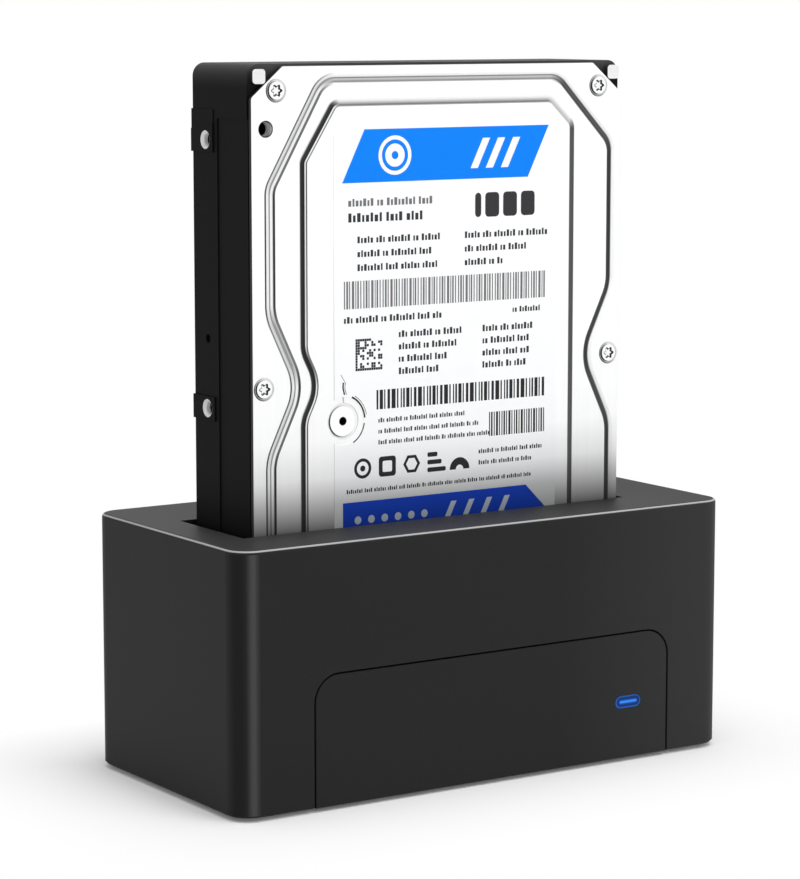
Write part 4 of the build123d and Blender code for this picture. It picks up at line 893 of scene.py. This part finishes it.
def build_cover(material):
    """Stamped cover with its crisp edges, channel, dimples, raised middle and breather."""
    skin = Skin()
    edge = profile([(0, FLANGE_BOTTOM), (0, FLANGE_TOP)], [0, COVER_ROUNDING], lead=False)
    bottom_edge, top_edge = skin.sweep(cover_edge, edge, EDGE_TONES)
    half, bed = CHANNEL_WIDTH / 2, FLANGE_TOP - CHANNEL_DEPTH
    lip, base = CHANNEL_LIP_ROUNDING, CHANNEL_BED_ROUNDING
    across = [(half + CHANNEL_BANK, FLANGE_TOP), (half, FLANGE_TOP), (half - CHANNEL_DRAFT, bed),
              (CHANNEL_DRAFT - half, bed), (-half, FLANGE_TOP)]
    channel = profile(across, [0, lip, base, base, lip])
    channel_out, channel_in = skin.sweep(channel_line, channel, CHANNEL_TONES)
    rise = [(STEP_FOOT, FLANGE_TOP), (0, FLANGE_TOP), (-PLATEAU_SLOPE, PLATEAU_TOP)]
    step = profile(rise, [0, STEP_ROUNDING, STEP_ROUNDING])
    foot, crown = skin.sweep(plateau_edge, step, STEP_TONES)
    dimples = []
    dish = profile([(0, FLANGE_TOP), (-DIMPLE_SLOPE, DIMPLE_SEAT)], DIMPLE_ROUNDINGS)
    for x, y in cover_screw_places():
        rim, floor = skin.sweep(lambda offset: dimple(x, y, offset), dish, DIMPLE_TONES)
        skin.fill([floor])
        dimples.append(rim)
    tool = profile([(0, FLANGE_TOP), (0, FLANGE_BOTTOM)], [TOOL_ROUNDING, 0], tail=False)
    tool_rim, tool_end = skin.lathe(TOOL_X, TOOL_Y, TOOL_HOLE, 32, tool, HOLE_TONES)
    skin.fill([top_edge, channel_out, tool_rim] + dimples)
    skin.fill([channel_in, foot])
    dip = PLATEAU_TOP - VENT_DEPTH
    trough = profile([(0, PLATEAU_TOP), (0, dip)], [VENT_ROUNDING, 0])
    vent_out, vent_bed = skin.sweep(vent_outline, trough, TROUGH_TONES)
    island = profile([(0, dip), (0, PLATEAU_TOP), (-ISLAND_RIM, PLATEAU_TOP)], [0, VENT_ROUNDING, 0])
    inner = VENT_RING - VENT_GROOVE
    island_foot, island_top = skin.lathe(VENT_X, VENT_Y, inner, 40, island, ISLAND_TONES)
    skin.fill([vent_bed, island_foot])
    under = PLATEAU_TOP - SHEET
    drop = profile([(0, PLATEAU_TOP), (0, under)], [VENT_HOLE_ROUNDING, 0], tail=False)
    vent_rim, vent_end = skin.lathe(VENT_X, VENT_Y, VENT_HOLE, 24, drop, BORE_TONES)
    skin.fill([island_top, vent_rim])
    skin.fill([crown, vent_out])
    within = -PLATEAU_SLOPE - SHEET
    hollow = [skin.ring(plateau_edge(within), z, -1.0, 0.0) for z in (FLANGE_BOTTOM, under)]
    skin.strip(hollow[1], hollow[0])
    skin.fill([bottom_edge, hollow[0], tool_end], up=False)
    skin.fill([hollow[1], vent_end], up=False)
    cover = skin.piece("cover_sheet", [material])
    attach(cover, "drive")
    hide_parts("drive_cover")


def star(x, y, offset):
    """Lobed driver recess moved outwards."""
    middle, swing = (STAR_OUTER + STAR_INNER) / 2, (STAR_OUTER - STAR_INNER) / 2
    result = []
    for i in range(STAR_POINTS):
        angle = FULL_TURN * i / STAR_POINTS
        radius = middle + swing * cos(STAR_LOBES * angle) + offset
        result.append((Vector((x, y)) + towards(angle) * radius, towards(angle)))
    return result


def build_cover_screws(material):
    """Pan heads with a six-lobed recess, one in each dimple, with painted shade on their rims and recesses.
    """
    skin = Skin()
    top = DIMPLE_SEAT + SCREW_HEAD_HEIGHT
    deep = top - STAR_DEPTH
    head = profile([(0, DIMPLE_SEAT), (0, top)], [0, SCREW_HEAD_ROUNDING], lead=False)
    walls = [(0, top), (-STAR_SLOPE, deep), (-STAR_SLOPE - STAR_BED_RIM, deep)]
    recess = profile(walls, [STAR_ROUNDING, 0, 0], tail=False)
    for x, y in cover_screw_places():
        base, rim = skin.lathe(x, y, SCREW_HEAD, 40, head, HEAD_TONES)
        skin.fill([base], up=False)
        mouth, bed = skin.sweep(lambda offset: star(x, y, offset), recess, STAR_TONES)
        skin.fill([rim, mouth])
        skin.fill([bed])
    screws = skin.piece("cover_screw_heads", [material])
    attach(screws, "drive")
    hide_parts("cover_screws")


# The label

# Inks of the print. White is the bare film, and the others are made in this order.
WHITE, BLUE, DEEP, DARK, GREY, PALE, INKY = range(7)
INKS = (
    ("ink_blue", (0.0, 0.216, 0.9)),
    ("ink_deep_blue", (0.0, 0.07, 0.72)),
    ("ink_dark", (0.02, 0.02, 0.022)),
    ("ink_grey", (0.16, 0.16, 0.165)),
    ("ink_pale", (0.75, 0.86, 0.97)),
    ("ink_title", (0.035, 0.035, 0.038)))

# Letters in each word of small print, with widths, heights and gaps as shares of a line's height. Then the
# widths of bars and of the spaces between them, in turn.
WORD_COUNTS = (5, 3, 7, 2, 8, 4, 6)
LETTER_WIDTHS = (0.42, 0.34, 0.46, 0.3)
LETTER_RISES = (1.0, 0.76, 0.76, 1.0, 0.76)
LETTER_GAP = 0.2
WORD_GAP = 0.4
STRIP_WIDTHS = (0.32, 0.3, 0.5, 0.24, 0.3, 0.44, 0.62, 0.3, 0.26, 0.24, 0.44, 0.36, 0.3, 0.5)
HEAVY_WIDTHS = (0.5, 0.35, 0.9, 0.3, 0.35, 0.55, 0.7, 0.4, 1.1, 0.35, 0.4, 0.6, 0.35, 0.3)
FINE_WIDTHS = (0.3, 0.26, 0.46, 0.3, 0.3, 0.34, 0.6, 0.26, 0.3, 0.4)
LEAST_BAR = 0.2
CELL_GAP = 0.02

# Margins and levels of the print on the drive.
PRINT_LEFT = LABEL_LEFT + 2.2
PRINT_RIGHT = LABEL_RIGHT - 2.4
HEADER_LOW = 120.6
HEADER_HIGH = 132.4
BLOCKS_LOW = 111.8
BLOCKS_HIGH = 117.4
STRIP_LOW = 92.6
STRIP_HIGH = 98.8
HEAVY_LOW = 69.6
HEAVY_HIGH = 74.0
FINE_LOW = 61.2
FINE_HIGH = 66.8
FOOTER_LOW = LABEL_LOW + 0.8
FOOTER_HIGH = 49.0

# Painted shade round the breather, as strokes: gap from the notch, width, start and end in degrees, and ink.
VENT_SHADE_ARCS = ((0.12, 0.3, -62, -8, DARK), (0.14, 0.42, 4, 66, DARK), (0.78, 0.18, 10, 60, GREY))


def label_edge(offset):
    """Outline of the label film with its round bite for the breather, moved outwards."""
    corners = box_corners(LABEL_LEFT, LABEL_LOW, LABEL_RIGHT, LABEL_HIGH)
    sheet = rounded(corners, 4 * [LABEL_CORNER], offset, 6)
    reach = LABEL_NOTCH - offset
    edge = LABEL_LEFT - offset
    half = acos((edge - VENT_X) / reach)
    bite = arc(VENT_X, VENT_Y, reach, half, -2 * half, 32)
    return sheet + [(place, -way) for place, way in bite]


def panel(ink, *corners):
    """Printed polygon."""
    return [(ink, [Vector(corner) for corner in corners])]


def box(ink, left, low, right, high, radius=0.0, steps=3):
    """Printed rectangle, with rounded corners if it has a radius."""
    corners = box_corners(left, low, right, high)
    if radius > 0:
        corners = [place for place, _ in rounded(corners, 4 * [radius], steps=steps)]
    return panel(ink, *corners)


def slant(ink, x, low, high, width, shift):
    """Printed stripe that leans over between two levels."""
    return panel(ink, (x, low), (x + width, low), (x + width + shift, high), (x + shift, high))


def bars(left, low, right, high, widths, ink=DARK):
    """Row of upright bars whose widths and spaces repeat."""
    shapes, x, i = [], left, 0
    while x < right - LEAST_BAR:
        width = min(widths[i % len(widths)], right - x)
        if i % 2 == 0:
            shapes += box(ink, x, low, x + width, high)
        x += width
        i += 1
    return shapes


def words(left, low, right, first, height=1.5, ink=INKY):
    """Row of small upright blocks in groups, which stands for a line of small print."""
    shapes, x, i = [], left, first
    while x < right - height:
        for k in range(WORD_COUNTS[i % len(WORD_COUNTS)]):
            width = LETTER_WIDTHS[(i + k) % len(LETTER_WIDTHS)] * height
            rise = LETTER_RISES[(2 * i + k) % len(LETTER_RISES)] * height
            if x + width > right:
                break
            shapes += box(ink, x, low, x + width, low + rise)
            x += width + height * LETTER_GAP
        x += height * WORD_GAP
        i += 1
    return shapes


def disc(x, y, radius, ink):
    """Printed round spot."""
    return [(ink, [place for place, _ in circle(x, y, radius, 28)])]


def on_circle(x, y, radius, angles):
    """Points of a circle at the given angles."""
    return [Vector((x + radius * cos(a), y + radius * sin(a))) for a in angles]


def arc_band(x, y, radius, width, start, end, ink=DARK):
    """Printed stretch of a ring between two angles in degrees."""
    count = 14
    ways = [radians(start + (end - start) * i / count) for i in range(count + 1)]
    return [(ink, on_circle(x, y, radius + width, ways) + on_circle(x, y, radius, reversed(ways)))]


def matrix(left, low, size, cells):
    """Square of small cells, dark by a fixed rule."""
    cell, gap, shapes = size / cells, CELL_GAP, []
    for row in range(cells):
        for column in range(cells):
            if row == 0 or column == 0 or (row * 7 + column * 11 + row * column * 5) % 13 < 6:
                x, y = left + column * cell, low + row * cell
                shapes += box(DARK, x + gap, y + gap, x + cell - gap, y + cell - gap)
    return shapes


def marks(left, low, size, gap):
    """Row of plain shapes: ring, block, six-sided plate, three stripes and a half disc."""
    half, shapes = size / 2, []
    x, y = left + half, low + half
    shapes += disc(x, y, half, DARK) + disc(x, y, half * 0.68, WHITE) + disc(x, y, half * 0.3, DARK)
    x += size + gap
    hole = half * 0.55
    shapes += box(DARK, x - half, low, x + half, low + size, 0.7)
    shapes += box(WHITE, x - hole, y - hole, x + hole, y + hole, 0.3, 2)
    x += size + gap
    ways = [radians(60 * i) for i in range(6)]
    shapes += [(DARK, on_circle(x, y, half, ways)), (WHITE, on_circle(x, y, half * 0.66, ways))]
    x += size + gap
    step = size * 0.38
    for i in range(3):
        end, high = x + half * (1.2 - 0.5 * i), low + (i + 0.6) * step
        shapes += box(DARK, x - half, low + i * step, end, high, 0.3, 2)
    x += size + gap
    return shapes + arc_band(x, low, half * 0.45, half * 0.75, 0, 180)


def header(left, right, low, high):
    """Blue band with slanted ends, a white platter mark and three slanted stripes."""
    lean = (high - low) / 2
    shapes = panel(BLUE, (left, low), (right - lean, low), (right, high), (left + lean, high))
    for radius, ink in ((4.4, WHITE), (3.5, BLUE), (2.6, WHITE), (0.9, BLUE)):
        shapes += disc(left + 14.0, (low + high) / 2, radius, ink)
    for i in range(3):
        shapes += slant(WHITE, right - lean - 16.0 + 4.2 * i, low + 2.4, high - 2.6, 2.0, 0.58 * lean)
    return shapes


def footer(left, right, low, high):
    """Deep blue band with slanted stripes and a row of spots."""
    lean = 6.0
    shapes = panel(DEEP, (left, low), (right, low), (right, high - lean), (right - lean, high), (left, high))
    for i in range(4):
        shapes += slant(PALE, right - 30.0 + 5.0 * i, high - 8.0, high - 2.0, 1.5, 3.0)
    for i in range(6):
        shapes += disc(left + 4.0 + 3.6 * i, high - 4.2, 0.9, PALE)
    return shapes


def vent_crease_shade():
    """Painted shade round the breather: dark and grey strokes where the film follows its pressed rim and
    tail.
    """
    shapes = []
    for gap, width, start, end, ink in VENT_SHADE_ARCS:
        shapes += arc_band(VENT_X, VENT_Y, LABEL_NOTCH + gap, width, start, end, ink)
    low, high = VENT_Y + LABEL_NOTCH + 0.5, VENT_Y + LABEL_NOTCH + VENT_TAIL
    knee = low + 1.6
    dark = ((0.2, low), (0.6, low), (0.2, knee), (0.3, high - 1.2), (-0.1, high - 1.2), (-0.2, knee))
    grey = ((0.8, low), (1.0, low), (0.55, knee), (0.75, high - 1.4), (-0.5, high + 0.6), (-0.6, high + 0.5),
            (0.55, high - 1.4), (0.38, knee))
    for ink, stroke in ((DARK, dark), (GREY, grey)):
        shapes += panel(ink, *[(VENT_X + x, y) for x, y in stroke])
    return shapes


def label_art():
    """Panels of the printed design from top to bottom, later ones over earlier ones.

    Places count from the margins, levels from the drive's connector end, all in millimetres.
    """
    left, right = PRINT_LEFT, PRINT_RIGHT
    art = header(left, right, HEADER_LOW, HEADER_HIGH)
    x = right - 20.6
    for width in (1.7, 3.9, 3.9, 3.9):
        art += box(INKY, x, BLOCKS_LOW, x + width, BLOCKS_HIGH, 0.9)
        x += width + 1.1
    art += words(left + 1.6, 115.4, left + 26.0, 2, 1.7, GREY)
    art += words(left + 1.6, 111.9, left + 22.0, 4, 2.0)
    for i in range(3):
        low = 107.2 - 3.1 * i
        art += words(left + 4.0, low, left + 27.0 - 3.0 * (i % 2), 2 * i)
        art += words(left + 33.0, low, right - 6.0 * i, i)
    art += bars(left + 0.4, STRIP_LOW, right - 0.4, STRIP_HIGH, STRIP_WIDTHS, GREY)
    art += words(left + 0.4, 89.4, left + 27.0, 1)
    art += words(right - 10.0, 89.6, right - 0.6, 3, 1.3)
    art += matrix(left + 3.4, 78.6, 7.2, 12)
    for i in range(4):
        low = 85.6 - 2.8 * i
        art += words(left + 15.0, low, left + 33.0 - 2.0 * i, i + 1)
        art += words(left + 38.0, low, right - 3.0 - i, 3 * i)
    art += bars(left + 9.0, HEAVY_LOW, right - 0.8, HEAVY_HIGH, HEAVY_WIDTHS)
    for i in range(3):
        art += words(left + 9.5, 66.6 - 2.5 * i, left + 33.0 + 4.0 * i, 2 * i + 1, 1.05)
    art += bars(right - 16.5, FINE_LOW, right - 0.8, FINE_HIGH, FINE_WIDTHS)
    art += marks(left + 3.0, 54.2, 4.6, 2.0)
    art += words(left + 37.0, 57.4, right - 1.0, 2, 1.05)
    art += words(left + 37.0, 54.8, right - 4.0, 0, 1.05)
    art += words(left + 1.0, 51.0, right - 4.0, 4, 0.95)
    return art + footer(left, right, FOOTER_LOW, FOOTER_HIGH) + vent_crease_shade()


def span(outline):
    """Least and greatest X and Y of an outline."""
    xs, ys = [p.x for p in outline], [p.y for p in outline]
    return min(xs), min(ys), max(xs), max(ys)


def build_label(materials):
    """Label film whose printed panels are regions of its own surface."""
    skin = Skin()
    line = profile([(0, PLATEAU_TOP), (0, DRIVE_THICKNESS)], [0, LABEL_ROUNDING], lead=False, steps=2)
    base, rim = skin.sweep(label_edge, line)
    skin.fill([base], up=False)
    art = label_art()
    flat, edges = [skin.flat(i) for i in rim], closed(0, len(rim))
    for _, outline in art:
        edges += closed(len(flat), len(outline))
        flat += outline
    verts, _, faces, origins, _, _ = delaunay_2d_cdt(flat, edges, [], INNER_FACES, PRINT_MERGE)
    ids = []
    for place, origin in zip(verts, origins):
        on_rim = [i for i in origin if i < len(rim)]
        ids.append(rim[on_rim[0]] if on_rim else skin.point(place.x, place.y, DRIVE_THICKNESS, (0, 0, 1)))
    art = [(ink, outline, span(outline)) for ink, outline in reversed(art)]
    for face in faces:
        middle = sum((verts[i] for i in face), Vector((0, 0))) / len(face)
        face_ink = WHITE
        for ink, outline, (x0, y0, x1, y1) in art:
            if x0 <= middle.x <= x1 and y0 <= middle.y <= y1 and inside(middle, outline):
                face_ink = ink
                break
        skin.face([ids[i] for i in face], face_ink)
    label = skin.piece("label_film", materials)
    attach(label, "drive")
    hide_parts("drive_label")


# The room

# Strength of the room's light, and the floor's half width, lift for the camera and fade to white.
WHITE_LIGHT = (1.0, 1.0, 1.0)
ROOM_LIGHT = 0.58
FLOOR_HALF = 3.0
FLOOR_LIFT = 0.08
FLOOR_WHITE_FROM = 2.0
FLOOR_WHITE_AT = 40.0
FLOOR_WHITE_CURVE = 0.8
# Lamps: name, place, point that it looks at, size and power.
LAMPS = (("key", (0.1, -0.75, 1.7), (0, 0, 0.08), 1.6, 15),
         ("fill", (0.75, -1.6, 0.55), (0, 0, 0.1), 1.2, 8))


def build_world():
    """White surroundings for the camera and mirrors, softer light for everything else."""
    world = bpy.data.worlds.new("studio")
    bpy.context.scene.world = world
    world.use_nodes = True
    net = Net(world.node_tree)
    net.nodes.clear()
    backs = [net.node("Background", {"Color": WHITE_LIGHT, "Strength": s}) for s in (ROOM_LIGHT, 1.0)]
    shade = net.blend(net.white_rays(), *[back.outputs["Background"] for back in backs])
    net.node("OutputWorld", {"Surface": shade})


def build_floor():
    """Pale floor that keeps the soft shadow of the dock and runs out into white."""
    mesh = bpy.data.meshes.new("floor")
    corners = box_corners(-FLOOR_HALF, -FLOOR_HALF, FLOOR_HALF, FLOOR_HALF)
    mesh.from_pydata([(x, y, 0) for x, y in corners], [], [(0, 1, 2, 3)])
    material, net = new_material("floor_paper")
    low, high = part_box("dock_shell")
    x, y, _ = net.split()
    across = net.beyond(x, (low.x + high.x) / 2, (high.x - low.x) / 2)
    behind = net.beyond(y, (low.y + high.y) / 2, (high.y - low.y) / 2)
    far = net.ranged(net.length(across, behind), FLOOR_WHITE_FROM * MM, FLOOR_WHITE_AT * MM)
    share = net.times(net.white_rays(), net.calc("POWER", far, FLOOR_WHITE_CURVE))
    seen = net.node("LightPath").outputs["Is Camera Ray"]
    glow = {"Emission Color": WHITE_LIGHT, "Emission Strength": net.times(seen, FLOOR_LIFT)}
    net.dress((0.95, 0.95, 0.95), rough=0.9, specular=0.0, others=glow)
    white = net.node("Emission", {"Color": WHITE_LIGHT, "Strength": 1.0}).outputs["Emission"]
    blend = net.blend(share, net.shader.outputs["BSDF"], white)
    net.fill(net.nodes["Material Output"], {"Surface": blend})
    mesh.materials.append(material)
    floor = placed("floor", mesh)


def area_light(name, place, target, size, power):
    """Square soft light turned towards a point."""
    lamp = bpy.data.lights.new(name, "AREA")
    lamp.shape = "SQUARE"
    lamp.size = size
    lamp.energy = power
    obj = placed(name, lamp)
    obj.location = place
    obj.rotation_euler = (Vector(target) - Vector(place)).to_track_quat("-Z", "Y").to_euler()


def build_camera():
    """Camera where the photographer stood."""
    data = bpy.data.cameras.new("camera")
    data.lens = LENS
    data.sensor_fit = "VERTICAL"
    data.sensor_height = SENSOR
    data.sensor_width = SENSOR * PHOTO_WIDTH / PHOTO_HEIGHT
    camera = placed("camera", data)
    camera.location = CAMERA_PLACE
    camera.rotation_euler = (radians(90 - CAMERA_TILT), 0, radians(-CAMERA_TURN))
    bpy.context.scene.camera = camera


# Everything together

materials = slot_materials()
for part in frame["record"]["subparts"]:
    node = frame["nodes"][part["node"]]
    node.data.materials.clear()
    node.data.materials.append(materials[part["material_slot"]])

build_cover(materials["cover_aluminium"])
build_cover_screws(materials["cover_aluminium"])
build_label([materials["label_white"]] + [ink_material(*ink) for ink in INKS])

build_world()
build_floor()
for lamp in LAMPS:
    area_light(*lamp)
build_camera()

bpy.context.scene.view_settings.view_transform = "Standard"
